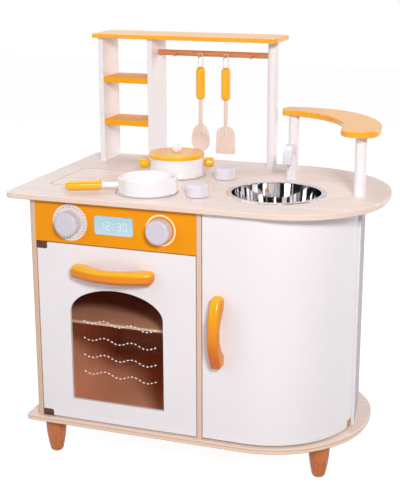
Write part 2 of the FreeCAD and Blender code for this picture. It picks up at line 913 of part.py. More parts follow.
def make_cupboard_door():
    """Door sheet, straight at its free edge and bent round to its hinge."""
    heights = (cupboard_floor, cupboard_head)
    sheet = block((cupboard_left, bend_center.x), (front, back(cupboard_thickness)), heights)
    bend = bend_sector(inner_bend_radius, cupboard_bend_radius, front_turn, end_turn, *heights)
    door = whole(sheet.fuse(bend))
    cuts = []
    for inside, outside in cupboard_block_heights:
        beyond = outside + math.copysign(overrun, outside - inside)
        end = end_turn + overrun / cupboard_bend_radius
        cuts.append(bend_sector(inner_bend_radius - overrun, cupboard_bend_radius + overrun, block_turn, end,
                                *sorted((inside, beyond))))
    recess = FreeCAD.Vector(cupboard_stop_x, back(cupboard_thickness - strike_thickness), stop_middle)
    cuts.append(rod(recess, recess + FreeCAD.Vector(0, strike_thickness + overrun, 0),
                    strike_radius + seat_fit))
    return door.cut(cuts)


def make_cupboard_hinge_blocks():
    """Two bent blocks that fill the notches of the cupboard door and turn on the hinge pins."""
    blocks = []
    for inside, outside in cupboard_block_heights:
        body = bend_sector(inner_bend_radius + hinge_block_recess, cupboard_bend_radius - hinge_block_recess,
                           block_turn, end_turn, *sorted((inside, outside)))
        depth = math.copysign(pin_reach + pin_end_play, outside - inside)
        hole = socket(cupboard_hinge.x, cupboard_hinge.y, outside, depth, pin_hole_radius)
        blocks.append(body.cut(hole))
    return Part.makeCompound(blocks)


cupboard_bow = make_bow(cupboard_handle_length, cupboard_handle_width)
cupboard_bow.rotate(FreeCAD.Vector(), FreeCAD.Vector(0, 1, 0), 90)
cupboard_handle_place = FreeCAD.Vector(cupboard_left + cupboard_handle_inset, front,
                                       cupboard_floor + cupboard_handle_rise)
parts["cupboard_door"] = make_cupboard_door()
parts["cupboard_handle"] = cupboard_bow.translated(cupboard_handle_place)
parts["cupboard_hinge_blocks"] = make_cupboard_hinge_blocks()

# Hinge pins, door stops, magnets and strikes


def make_hinge_pins():
    """Four pins, each seated in a board and reaching into a hinge block."""
    ends = [(oven_hinge, carcass_floor - pin_seat, oven_block_heights[0][1] + pin_reach),
            (oven_hinge, oven_block_heights[1][1] - pin_reach, control_floor + head_pin_seat),
            (cupboard_hinge, carcass_floor - pin_seat, cupboard_block_heights[0][1] + pin_reach),
            (cupboard_hinge, cupboard_block_heights[1][1] - pin_reach, carcass_top + worktop_pin_seat)]
    return Part.makeCompound([post(hinge.x, hinge.y, low, high, pin_radius) for hinge, low, high in ends])


stops = []
magnets = []
for name, x, thickness in (("oven", oven_stop_x, door_thickness),
                           ("cupboard", cupboard_stop_x, cupboard_thickness)):
    stop_front = back(thickness + stop_gap)
    face = FreeCAD.Vector(x, stop_front, stop_middle)
    pocket_end = face + FreeCAD.Vector(0, magnet_thickness, 0)
    stop = block((x - stop_width / 2, x + stop_width / 2), (stop_front, stop_front + stop_depth),
                 (stop_middle - stop_height / 2, stop_middle + stop_height / 2))
    stops.append(stop.cut(rod(face - FreeCAD.Vector(0, overrun, 0), pocket_end, magnet_radius + seat_fit)))
    magnets.append(rod(face, pocket_end, magnet_radius))
    strike_face = FreeCAD.Vector(x, back(thickness), stop_middle)
    strike_seat = FreeCAD.Vector(x, back(thickness - strike_thickness), stop_middle)
    parts[name + "_strike"] = rod(strike_seat, strike_face, strike_radius)
parts["hinge_pins"] = make_hinge_pins()
parts["door_stops"] = Part.makeCompound(stops)
parts["stop_magnets"] = Part.makeCompound(magnets)

# Sink bowl and tap


def bowl_form(shrink, rim):
    """Inside or outside of the sink bowl, turned about Z, with its rim plane at zero."""
    return turned([(0, shrink - sink_depth, 0),
                   (sink_foot_radius - shrink, shrink - sink_depth, sink_bottom_radius - shrink),
                   (sink_wall_radius - shrink, 0, 0), (sink_wall_radius - shrink, rim, 0), (0, rim, 0)])


def make_sink_bowl():
    """Pressed metal bowl whose rim lies on the worktop."""
    rim = post(0, 0, 0, sink_metal, sink_rim_radius)
    rim = rim.makeFillet(sink_metal / 2, level_edges(rim, sink_metal))
    bowl = whole(bowl_form(0, sink_metal).fuse(rim))
    return bowl.cut(bowl_form(sink_metal, sink_metal + overrun))


def make_faucet():
    """Bent board tap: a column, an arch and a short spout leg, turning on a dowel in the column."""
    low = worktop_height + faucet_clear
    column = faucet_y + faucet_leg / 2
    inside = faucet_y - faucet_leg / 2
    spout_in = inside - faucet_gap
    spout = spout_in - faucet_leg
    outer = faucet_leg + faucet_gap / 2
    crown = worktop_height + faucet_top_rise
    spring = crown - outer
    middle = (column + spout) / 2
    spout_end = worktop_height + spout_rise
    place = sideways(faucet_x - faucet_width / 2)
    edges = [line(place(column, low), place(column, spring)),
             arc(place(column, spring), place(middle, crown), place(spout, spring)),
             line(place(spout, spring), place(spout, spout_end)),
             line(place(spout, spout_end), place(spout_in, spout_end)),
             line(place(spout_in, spout_end), place(spout_in, spring)),
             arc(place(spout_in, spring), place(middle, crown - faucet_leg), place(inside, spring)),
             line(place(inside, spring), place(inside, low)),
             line(place(inside, low), place(column, low))]
    tap = Part.Face(Part.Wire(edges)).extrude(FreeCAD.Vector(faucet_width, 0, 0))
    tap = tap.makeFillet(faucet_round, [edge for edge in tap.Edges if edge.BoundBox.ZMin > low + overrun / 2
                                        or edge.BoundBox.ZMax > spring + seat_fit])
    hole = socket(faucet_x, faucet_y, low, -(pivot_reach + end_play), pivot_radius + running_fit)
    return tap.cut(hole)


sink_place = FreeCAD.Vector(sink_x, sink_y, worktop_height)
parts["sink_bowl"] = make_sink_bowl().translated(sink_place)
parts["faucet"] = make_faucet()
parts["faucet_pivot"] = post(faucet_x, faucet_y, carcass_top, worktop_height + pivot_reach, pivot_radius)

# Corner shelf on two round posts

corner_floor = worktop_height + corner_shelf_rise
corner_center = FreeCAD.Vector(worktop_right - corner_shelf_inset, ahead(corner_shelf_lead), corner_floor)


def make_corner_shelf():
    """Crescent shelf with a round nose in front, whose outer sweep tightens towards the back."""
    front_end = math.radians(corner_front_angle)
    blend = math.radians(corner_blend_angle)
    rear_end = math.radians(corner_rear_angle)
    hollow_rear = math.radians(corner_hollow_rear_angle)
    back_center = corner_center + turned_point(corner_shelf_radius - corner_back_radius, blend)
    nose_radius = (corner_shelf_radius - corner_hollow_radius) / 2

    def outer(turn):
        return corner_center + turned_point(corner_shelf_radius, turn)

    def rear(turn):
        return back_center + turned_point(corner_back_radius, turn)

    def inner(turn):
        return corner_center + turned_point(corner_hollow_radius, turn)

    tail = FreeCAD.Vector(corner_tail_x, ahead(corner_tail_lead), corner_floor)
    nose = (inner(front_end) + outer(front_end)) / 2 + turned_point(nose_radius, front_end - math.pi / 2)
    edges = [arc(outer(front_end), outer((front_end + blend) / 2), outer(blend)),
             arc(outer(blend), rear((blend + rear_end) / 2), rear(rear_end)),
             arc(rear(rear_end), tail, inner(hollow_rear)),
             arc(inner(hollow_rear), inner((hollow_rear + front_end) / 2), inner(front_end)),
             arc(inner(front_end), nose, outer(front_end))]
    top = corner_floor + corner_shelf_thickness
    shelf = Part.Face(Part.Wire(edges)).extrude(FreeCAD.Vector(0, 0, corner_shelf_thickness))
    shelf = shelf.makeFillet(corner_shelf_round, level_edges(shelf, corner_floor, top))
    return shelf.cut([socket(x, y, corner_floor, -(tenon_length + end_play), tenon_hole_radius)
                      for x, y in corner_posts])


def make_tenoned_post(x, y, low, high):
    """Round post with a tenon at each end."""
    tenon = post(x, y, low - tenon_length, high + tenon_length, tenon_radius)
    return whole(post(x, y, low, high, post_radius).fuse(tenon))


parts["corner_shelf"] = make_corner_shelf()
parts["corner_posts"] = Part.makeCompound([make_tenoned_post(x, y, worktop_height, corner_floor)
                                           for x, y in corner_posts])

# Rack: two plank posts, a round post and its shelves

rack_top = worktop_height + rack_height
bay_left = left_plank_x + plank_thickness
top_shelf_right = rack_post_x + top_shelf_right_overhang
rail_z = worktop_height + rail_rise
rail_hole_radius = rail_radius + seat_fit
rail_left_end = rail_start - rail_seat
rail_right_end = rack_post_x - post_radius + rail_seat


def make_plank(left):
    """Upright plank of the rack with its front edges rounded."""
    plank = block((left, left + plank_thickness), (plank_front, plank_rear), (worktop_height, rack_top))
    upright_edges = [edge for edge in plank.Edges if edge.BoundBox.ZLength > rack_height / 2]
    return plank.makeFillet(plank_round, upright_edges)


def rail_hole(start, end):
    """Blind hole for one end of the utensil rail."""
    return rod(FreeCAD.Vector(start, rail_y, rail_z), FreeCAD.Vector(end, rail_y, rail_z), rail_hole_radius)


def make_small_shelf(top):
    """Shelf between the two planks with rounded front and rear edges."""
    shelf = block((bay_left, middle_plank_x), (plank_front, plank_rear), (top - small_shelf_thickness, top))
    long_edges = [edge for edge in shelf.Edges if edge.BoundBox.XLength > rack_bay / 2]
    return shelf.makeFillet(small_shelf_round, long_edges)


def make_top_shelf():
    """Top board of the rack with rounded corners and a socket for the round post."""
    left = left_plank_x - top_shelf_left_overhang
    low = plank_front - top_shelf_front_overhang
    corners = [(left, low, top_shelf_left_radius), (top_shelf_right, low, top_shelf_right_radius),
               (top_shelf_right, worktop_rear, top_shelf_right_radius),
               (left, worktop_rear, top_shelf_left_radius)]
    board = eased_board(corners, rack_top, rack_top + top_shelf_thickness, top_shelf_round)
    return board.cut(socket(rack_post_x, rail_y, rack_top, -(tenon_length + end_play), tenon_hole_radius))


rack_post = make_tenoned_post(rack_post_x, rail_y, worktop_height, rack_top)
parts["rack_left_post"] = make_plank(left_plank_x)
middle_plank = make_plank(middle_plank_x)
parts["rack_middle_post"] = middle_plank.cut(rail_hole(rail_left_end - end_play, rail_start + overrun))
parts["rack_right_post"] = rack_post.cut(rail_hole(rack_post_x - post_diameter, rail_right_end + end_play))
parts["rack_top_shelf"] = make_top_shelf()
parts["rack_small_shelves"] = Part.makeCompound([make_small_shelf(worktop_height + rise)
                                                 for rise in (low_shelf_rise, high_shelf_rise)])

# Utensil rail and its pegs

peg_pitch = (rail_span - 2 * peg_end_gap) / (peg_count - 1)
peg_xs = [rail_start + peg_end_gap + peg_pitch * index for index in range(peg_count)]
peg_z = rail_z - peg_drop
rail_front = rail_y - rail_radius
peg_tip = rail_front - peg_reach
peg_root = rail_front + peg_seat


def make_peg(x):
    """Short peg with a rounded tip, seated in the front of the rail."""
    peg = rod(FreeCAD.Vector(x, peg_root, peg_z), FreeCAD.Vector(x, peg_tip, peg_z), peg_radius)
    return peg.makeFillet(peg_round, facing_edges(peg, peg_tip))


def make_rail():
    """Round rail with a blind hole for each peg."""
    rail = rod(FreeCAD.Vector(rail_left_end, rail_y, rail_z), FreeCAD.Vector(rail_right_end, rail_y, rail_z),
               rail_radius)
    mouth = rail_front - overrun
    holes = [rod(FreeCAD.Vector(x, mouth, peg_z), FreeCAD.Vector(x, peg_root + end_play, peg_z),
                 peg_radius + seat_fit) for x in peg_xs]
    return rail.cut(holes)


parts["utensil_rail"] = make_rail()
parts["rail_pegs"] = Part.makeCompound([make_peg(x) for x in peg_xs])

# Spoon and spatula, each hung from a peg by a string loop

utensil_y = rail_front - utensil_standoff
swing_z = peg_z + peg_radius + string_radius + seat_fit
grip_top = swing_z - loop_drop
grip_radius = utensil_grip_diameter / 2
grip_floor = grip_top - utensil_grip_length
shaft_radius = utensil_shaft_diameter / 2


def make_utensil_grip(x):
    """Round-ended grip with holes for the string above and the shaft below."""
    grip = turned([(0, grip_floor, 0), (grip_radius, grip_floor, utensil_grip_round),
                   (grip_radius, grip_top, utensil_grip_round), (0, grip_top, 0)])
    grip = grip.translated(FreeCAD.Vector(x, utensil_y, 0))
    string_hole = string_radius + seat_fit
    cuts = [socket(x + side * loop_half_width, utensil_y, grip_top, loop_seat + end_play, string_hole)
            for side in (-1, 1)]
    cuts.append(socket(x, utensil_y, grip_floor, -(utensil_shaft_seat + end_play), shaft_radius + seat_fit))
    return grip.cut(cuts)


def make_loop(x):
    """Taut string loop from the grip over the peg, level where it crosses the peg."""
    place = upright(utensil_y)
    foot_z = grip_top - loop_seat
    bend_z = swing_z - loop_bend_radius
    run = loop_half_width - loop_bend_radius
    eased = loop_bend_radius * math.sqrt(0.5)
    left = x - loop_half_width
    right = x + loop_half_width
    bend_mid_z = bend_z + eased
    edges = [line(place(left, foot_z), place(left, bend_z)),
             arc(place(left, bend_z), place(x - run - eased, bend_mid_z), place(x - run, swing_z)),
             line(place(x - run, swing_z), place(x + run, swing_z)),
             arc(place(x + run, swing_z), place(x + run + eased, bend_mid_z), place(right, bend_z)),
             line(place(right, bend_z), place(right, foot_z))]
    section = Part.Circle(place(left, foot_z), upward, string_radius).toShape()
    return Part.Wire(edges).makePipeShell([Part.Wire([section])], True, False)


def make_shaft(x, low):
    """Shaft from inside the grip down to a blade."""
    return post(x, utensil_y, low, grip_floor + utensil_shaft_seat, shaft_radius)


def make_spoon(x):
    """Spoon blade: an egg-shaped plate, dished in front, on a round shaft."""
    top = grip_floor - spoon_shaft
    wide_z = top - spoon_bowl_upper
    half = spoon_bowl_width / 2
    rear = utensil_y + spoon_bowl_thickness / 2
    face = utensil_y - spoon_bowl_thickness / 2
    place = upright(rear)
    middle = place(x, wide_z)
    upper = Part.Ellipse(place(x, top), place(x + half, wide_z), middle)
    lower = Part.Ellipse(place(x, wide_z - spoon_bowl_lower), place(x - half, wide_z), middle)
    quarter = math.pi / 2
    egg = Part.Wire([Part.ArcOfEllipse(oval, -quarter, quarter).toShape() for oval in (upper, lower)])
    bowl = Part.Face(egg).extrude(FreeCAD.Vector(0, face - rear, 0))
    bowl = bowl.makeFillet(utensil_round, facing_edges(bowl, rear) + facing_edges(bowl, face))
    bowl = whole(bowl.fuse(make_shaft(x, wide_z + spoon_bowl_upper / 2)))
    dish_center = FreeCAD.Vector(x, face + spoon_dish_depth - spoon_dish_radius, wide_z)
    return bowl.cut(Part.makeSphere(spoon_dish_radius, dish_center))


def make_spatula(x):
    """Spatula blade: a flat plate with arched shoulders, on a round shaft."""
    top = grip_floor - spatula_shaft
    low = top - spatula_blade_length
    half = spatula_blade_width / 2
    rear = utensil_y + spatula_blade_thickness / 2
    neck = spatula_neck_width / 2
    corners = [(x - half, low, spatula_corner), (x + half, low, spatula_corner),
               (x + neck, top, spatula_shoulder), (x - neck, top, spatula_shoulder)]
    blade = outline(corners, upright(rear)).extrude(FreeCAD.Vector(0, -spatula_blade_thickness, 0))
    front_and_rear = facing_edges(blade, rear) + facing_edges(blade, rear - spatula_blade_thickness)
    blade = blade.makeFillet(utensil_round, front_and_rear)
    return whole(blade.fuse(make_shaft(x, top - spatula_blade_length / 2)))


for name, x, make_blade in (("spoon", peg_xs[spoon_peg], make_spoon),
                            ("spatula", peg_xs[spatula_peg], make_spatula)):
    parts[name] = make_blade(x)
    parts[name + "_handle"] = make_utensil_grip(x)
    parts[name + "_loop"] = make_loop(x)

# Pot with its lid, and pan


def make_vessel(radius, height, wall, base, rounding):
    """Open turned vessel with a thick base, standing at the origin."""
    body = turned([(0, 0, 0), (radius, 0, rounding), (radius, height, wall / 4), (0, height, 0)])
    inside = turned([(0, base, 0), (radius - wall, base, rounding), (radius - wall, height + overrun, 0),
                     (0, height + overrun, 0)])
    return body.cut(inside)


def spoke(turn, rise):
    """Level direction at a turn in degrees and its height as a vector."""
    return turned_point(1, math.radians(turn)), FreeCAD.Vector(0, 0, rise)


pot_place = FreeCAD.Vector(hob_knob_left - pot_knob_gap - pot_radius, pot_y, worktop_height)
pot_body = make_vessel(pot_radius, pot_height, pot_wall, pot_base, pot_round)
pot_side, pot_grip_height = spoke(pot_turn, pot_grip_rise)
pot_grips = []
for side in (-1, 1):
    way = pot_side * side
    pot_grip_start = pot_grip_height + way * (pot_radius + pot_grip_gap)
    pot_grip_middle = pot_grip_start + way * (pot_grip_length / 2)
    tenon_start = pot_grip_height + way * (pot_radius - pot_grip_seat)
    grip = turned([(0, 0, 0), (pot_grip_radius, 0, pot_grip_round),
                   (pot_grip_radius, pot_grip_length, pot_grip_round), (0, pot_grip_length, 0)])
    grip = aimed(grip, pot_grip_start, way)
    grip = whole(grip.fuse(rod(tenon_start, pot_grip_middle, pot_grip_tenon_radius)))
    pot_grips.append(grip.translated(pot_place))
    hole_start = tenon_start - way * end_play
    pot_body = pot_body.cut(rod(hole_start, pot_grip_middle, pot_grip_tenon_radius + seat_fit))


def make_lid():
    """Flat lid with a locating ring below and a socket for its ball knob above."""
    radius = pot_radius + lid_overhang
    ring_radius = pot_radius - pot_wall - lid_ring_gap
    body = turned([(0, 0, 0), (radius, 0, 0), (radius, lid_thickness, lid_round), (0, lid_thickness, 0)])
    ring = post(0, 0, -lid_ring_depth, lid_thickness / 2, ring_radius)
    lid = whole(body.fuse(ring))
    hollow = post(0, 0, -lid_ring_depth - overrun, 0, ring_radius - lid_ring_wall)
    hole = socket(0, 0, lid_thickness, lid_ball_seat + end_play, lid_ball_tenon_radius + seat_fit)
    return lid.cut([hollow, hole])


def make_lid_ball():
    """Ball knob, flat where it sits on the lid, with a tenon below."""
    ball = Part.makeSphere(lid_ball_radius, FreeCAD.Vector(0, 0, lid_ball_radius - lid_ball_sink))
    ball = ball.cut(post(0, 0, -lid_ball_radius, 0, lid_ball_radius))
    return whole(ball.fuse(post(0, 0, -lid_ball_seat, lid_ball_radius, lid_ball_tenon_radius)))


lid_place = pot_place + FreeCAD.Vector(0, 0, pot_height)
parts["pot_body"] = pot_body.translated(pot_place)
parts["pot_handles"] = Part.makeCompound(pot_grips)
parts["pot_lid"] = make_lid().translated(lid_place)
parts["lid_knob"] = make_lid_ball().translated(lid_place + FreeCAD.Vector(0, 0, lid_thickness))

pan_place = FreeCAD.Vector(hob_knob_left - pan_knob_gap - pan_radius, pan_y, worktop_height)
pan_way, stem_height = spoke(pan_turn, pan_stem_rise)
stem_start = stem_height + pan_way * (pan_radius - pan_stem_seat)
grip_start = stem_height + pan_way * (pan_radius + pan_stem_length)
tenon_end = grip_start + pan_way * pan_grip_seat
pan_grip = turned([(0, 0, 0), (pan_grip_radius, 0, pan_grip_round / 2),
                   (pan_grip_radius, pan_grip_length, pan_grip_round), (0, pan_grip_length, 0)])
pan_grip = pan_grip.cut(post(0, 0, -overrun, pan_grip_seat + end_play, pan_grip_tenon_radius + seat_fit))
pan_stem = rod(stem_start, grip_start, pan_stem_radius)
pan_stem = whole(pan_stem.fuse(rod(grip_start, tenon_end, pan_grip_tenon_radius)))
pan_hole = rod(stem_start - pan_way * end_play, grip_start, pan_stem_radius + seat_fit)
pan_body = make_vessel(pan_radius, pan_height, pan_wall, pan_base, pan_round)
parts["pan_body"] = pan_body.cut(pan_hole).translated(pan_place)
parts["pan_stem"] = pan_stem.translated(pan_place)
parts["pan_grip"] = aimed(pan_grip, grip_start + pan_place, pan_way)

# One file per piece

os.makedirs("parts", exist_ok=True)
for name, shape in parts.items():
    shape.exportStep("parts/" + name + ".step")
box = Part.makeCompound(list(parts.values())).optimalBoundingBox(False)
overall = [round(size, 1) for size in (box.XLength, box.YLength, box.ZLength)]
print(len(parts), "nodes, overall", overall, "mm")
for name, shape in parts.items():
    if not shape.isValid() or not shape.Solids:
        print("not a sound solid:", name)
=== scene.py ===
"""Looks of a wooden toy kitchen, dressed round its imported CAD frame.

Lengths in the classes are millimetres and are turned to metres where Blender takes them.
"""

import logging
import math
from dataclasses import dataclass, field
from enum import Enum
from typing import Mapping, Optional, Sequence, Union

import bpy
from mathutils import Matrix, Vector


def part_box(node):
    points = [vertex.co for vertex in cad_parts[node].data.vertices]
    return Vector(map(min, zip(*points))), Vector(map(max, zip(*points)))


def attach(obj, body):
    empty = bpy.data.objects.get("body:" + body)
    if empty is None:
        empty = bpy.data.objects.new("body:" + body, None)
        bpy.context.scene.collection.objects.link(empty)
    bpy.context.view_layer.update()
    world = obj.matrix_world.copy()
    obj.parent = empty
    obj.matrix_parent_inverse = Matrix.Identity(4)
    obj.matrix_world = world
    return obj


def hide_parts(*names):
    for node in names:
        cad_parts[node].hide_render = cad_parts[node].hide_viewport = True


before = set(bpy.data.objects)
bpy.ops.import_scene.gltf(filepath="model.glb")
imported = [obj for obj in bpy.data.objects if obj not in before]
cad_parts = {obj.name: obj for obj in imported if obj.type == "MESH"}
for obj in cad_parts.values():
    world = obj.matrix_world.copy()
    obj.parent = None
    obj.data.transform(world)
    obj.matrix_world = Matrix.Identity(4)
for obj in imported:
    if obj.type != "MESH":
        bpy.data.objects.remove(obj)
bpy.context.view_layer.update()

MM = 0.001
log = logging.getLogger("toy_kitchen")
Tree, Node, Socket = bpy.types.NodeTree, bpy.types.Node, bpy.types.NodeSocket
Source = Union[Node, Socket, float, str, Sequence[float]]
Inputs = dict[Union[str, int], Source]


class Axis(Enum):
    """Direction of the part frame that a grain or a board follows."""

    X = 0
    Y = 1
    Z = 2


class Element(Enum):
    """What edit mode selects."""

    CORNER = "VERT"
    EDGE = "EDGE"
    FACE = "FACE"


class Reading(Enum):
    """What a material reads at a point of the surface."""

    PLACE = "Object"
    NORMAL = "Normal"


class Body(Enum):
    """CAD bodies that new pieces ride on."""

    CABINET = "cabinet"
    OVEN_DOOR = "oven_door"
    SPOON = "spoon"
    SPATULA = "spatula"


class Slot(Enum):
    """Material slots of the record; no piece in this script takes its finish from them."""

    DIAL_PRINT = "dial_print"
    DISPLAY_FILM = "display_film"
    STRING = "cotton_string"


def linear(code: str) -> tuple[float, float, float, float]:
    """Turn an sRGB hex colour into linear light.

    Args:
        code: Colour as a hash sign and six hex digits.

    Returns:
        Red, green, blue and an alpha of one.
    """
    shares = [int(code[start:start + 2], 16) / 255 for start in (1, 3, 5)]
    red, green, blue = (s / 12.92 if s <= 0.04045 else ((s + 0.055) / 1.055) ** 2.4 for s in shares)
    return red, green, blue, 1.0


def add(tree: Tree, kind: str, inputs: Optional[Inputs] = None, **settings: object) -> Node:
    """Add a node with its settings and links.

    Args:
        tree: Node tree that gets the node.
        kind: Blender's name of the node type, after ShaderNode.
        inputs: Input name or number to a node or socket to link, a hex colour or a value to set.
        settings: Properties of the node.

    Returns:
        The new node.
    """
    made = tree.nodes.new("ShaderNode" + kind)
    for name, value in settings.items():
        setattr(made, name, value)
    for name, value in (inputs or {}).items():
        if isinstance(value, Node):
            value = next(socket for socket in value.outputs if socket.enabled)
        if isinstance(value, Socket):
            tree.links.new(value, made.inputs[name])
        else:
            made.inputs[name].default_value = linear(value) if isinstance(value, str) else value
    return made


def component(tree: Tree, reading: Reading, axis: Axis) -> Socket:
    """One component of a point's place or normal in the part frame.

    Args:
        tree: Node tree of the material.
        reading: Place or normal.
        axis: Which component.

    Returns:
        Socket with the component.
    """
    where = add(tree, "TexCoord")
    return add(tree, "SeparateXYZ", {"Vector": where.outputs[reading.value]}).outputs[axis.value]


@dataclass(frozen=True)
class Figure:
    """A figure in a surface: soft patches, as wide and as long as the real ones are."""

    width: float
    length: Optional[float] = None
    detail: float = 2.0

    def drawn(self, tree: Tree, along: Axis = Axis.X) -> Node:
        """Draw the figure on the piece's own coordinates.

        Args:
            tree: Node tree of the material.
            along: Direction of the patches' length.

        Returns:
            Node whose value runs from zero to one.
        """
        scale = [1 / (self.width * MM)] * 3
        scale[along.value] = 1 / ((self.length or self.width) * MM)
        where = add(tree, "TexCoord")
        spread = add(tree, "Mapping", {"Vector": where.outputs["Object"], "Scale": scale})
        return add(tree, "TexNoise", {"Vector": spread, "Scale": 1.0, "Detail": self.detail, "Roughness": 0.55})


finished: dict[str, bpy.types.Material] = {}


@dataclass(frozen=True)
class Finish:
    """A surface finish that makes one node material."""

    name: str
    roughness: float = 0.4

    def material(self) -> bpy.types.Material:
        """Build the material the first time, and return it."""
        if self.name not in finished:
            made = bpy.data.materials.new(self.name)
            made.use_nodes = True
            tree = made.node_tree
            tree.nodes.clear()
            shader = add(tree, "BsdfPrincipled", {"Roughness": self.roughness, **self.surface(tree)})
            add(tree, "OutputMaterial", {"Surface": shader})
            finished[self.name] = made
        return finished[self.name]

    def surface(self, tree: Tree) -> Inputs:
        """Draw what the finish shows.

        Args:
            tree: Node tree of the material.

        Returns:
            Inputs of the shader by name.
        """
        raise NotImplementedError


@dataclass(frozen=True)
class ClearPlywood(Finish):
    """Birch plywood under clear lacquer: pale rotary veneer with soft streaks, and plies on its sawn edges."""

    roughness: float = 0.38
    pale: str = "#F1E6E0"
    dark: str = "#E6D4CA"
    edge_pale: str = "#F0DCCC"
    edge_dark: str = "#DDBDA5"
    # Dark line near the low face: partly a glued joint, partly painted shade along the edge.
    glue_and_shade: str = "#A67A5E"
    along: Axis = Axis.X
    through: Axis = Axis.Z
    low: float = 0.0
    thickness: float = 10.0
    plies: float = 3.0
    streak: Figure = Figure(5.0, 170.0, 3.0)
    band: Figure = Figure(26.0, 420.0, 1.0)
    pore: Figure = Figure(1.1, 28.0, 3.0)

    def veneer(self, tree: Tree) -> Node:
        """Colour of the face veneer: 26 mm bands under 5 mm streaks.

        Args:
            tree: Node tree of the material.

        Returns:
            Node with the colour.
        """
        band = add(tree, "MapRange", {"Value": self.band.drawn(tree, self.along), "From Min": 0.3, "From Max": 0.7,
                                      "To Max": 0.5})
        streak = add(tree, "MapRange", {"Value": self.streak.drawn(tree, self.along), "From Min": 0.35,
                                        "From Max": 0.7})
        ground = add(tree, "Mix", {0: band, 6: self.pale, 7: self.dark}, data_type="RGBA")
        return add(tree, "Mix", {0: streak, 6: ground, 7: self.dark}, data_type="RGBA")

    def edge(self, tree: Tree) -> Node:
        """Colour of a sawn edge: pale and darker plies in turn, with a dark line near one face that is partly a glued
        joint and partly painted shade along that edge.

        Args:
            tree: Node tree of the material.

        Returns:
            Node with the colour.
        """
        depth = add(tree, "MapRange", {"Value": component(tree, Reading.PLACE, self.through),
                                       "From Min": self.low * MM, "From Max": (self.low + self.thickness) * MM})
        turns = add(tree, "Math", {0: depth, 1: self.plies * math.tau}, operation="MULTIPLY")
        wave = add(tree, "Math", {0: turns}, operation="COSINE")
        ply = add(tree, "MapRange", {"Value": wave, "From Min": 0.2, "From Max": 0.9, "To Min": 0.05, "To Max": 0.6})
        layers = add(tree, "Mix", {0: ply, 6: self.edge_pale, 7: self.edge_dark}, data_type="RGBA")
        # Glued joint and painted shade: dark next to the low face, fading out by a seventh of the thickness.
        line = add(tree, "MapRange", {"Value": depth, "From Min": 0.04, "From Max": 0.14, "To Min": 0.85,
                                      "To Max": 0.0})
        return add(tree, "Mix", {0: line, 6: layers, 7: self.glue_and_shade}, data_type="RGBA")

    def surface(self, tree: Tree) -> Inputs:
        """Draw veneer on the two faces and plies on the edges.

        Args:
            tree: Node tree of the material.

        Returns:
            Inputs of the shader by name.
        """
        upright = add(tree, "Math", {0: component(tree, Reading.NORMAL, self.through)}, operation="ABSOLUTE")
        face = add(tree, "MapRange", {"Value": upright, "From Min": 0.6, "From Max": 0.75})
        pore = self.pore.drawn(tree, self.along)
        return {"Base Color": add(tree, "Mix", {0: face, 6: self.edge(tree), 7: self.veneer(tree)}, data_type="RGBA"),
                "Roughness": add(tree, "MapRange", {"Value": pore, "From Min": 0.3, "From Max": 0.7,
                                                    "To Min": self.roughness - 0.06, "To Max": self.roughness + 0.08}),
                "Normal": add(tree, "Bump", {"Height": pore, "Distance": 0.06 * MM, "Strength": 0.25}),
                "IOR": 1.5, "Coat Weight": 0.2, "Coat Roughness": 0.2}


@dataclass(frozen=True)
class OvenFloorPlywood(ClearPlywood):
    """Clear plywood board that is stained brown where it is the oven's floor."""

    stain_pale: str = "#FFC39F"
    stain_dark: str = "#F2AA82"
    middle: tuple[float, float] = (0.0, 0.0)
    half: tuple[float, float] = (0.0, 0.0)

    def veneer(self, tree: Tree) -> Node:
        """Colour of the face veneer, brown on top between the oven's walls.

        Args:
            tree: Node tree of the material.

        Returns:
            Node with the colour.
        """
        within = [add(tree, "Math", {0: component(tree, Reading.PLACE, axis), 1: self.middle[axis.value] * MM,
                                     2: self.half[axis.value] * MM}, operation="COMPARE") for axis in (Axis.X, Axis.Y)]
        area = add(tree, "Math", {0: within[0], 1: within[1]}, operation="MULTIPLY")
        above = add(tree, "Math", {0: component(tree, Reading.NORMAL, Axis.Z), 1: 0.5}, operation="GREATER_THAN")
        floor = add(tree, "Math", {0: area, 1: above}, operation="MULTIPLY")
        stain = add(tree, "Mix", {0: self.streak.drawn(tree, self.along), 6: self.stain_pale, 7: self.stain_dark},
                    data_type="RGBA")
        return add(tree, "Mix", {0: floor, 6: super().veneer(tree), 7: stain}, data_type="RGBA")


@dataclass(frozen=True)
class PaintedPlywood(ClearPlywood):
    """Plywood panel sprayed white on its outer face, with clear plies on the edges and inside."""

    coating: str = "#F1EEF0"

    def veneer(self, tree: Tree) -> Node:
        """Colour of the faces: white on the one that looks left.

        Args:
            tree: Node tree of the material.

        Returns:
            Node with the colour.
        """
        outside = add(tree, "Math", {0: component(tree, Reading.NORMAL, self.through), 1: 0.0}, operation="LESS_THAN")
        return add(tree, "Mix", {0: outside, 6: super().veneer(tree), 7: self.coating}, data_type="RGBA")


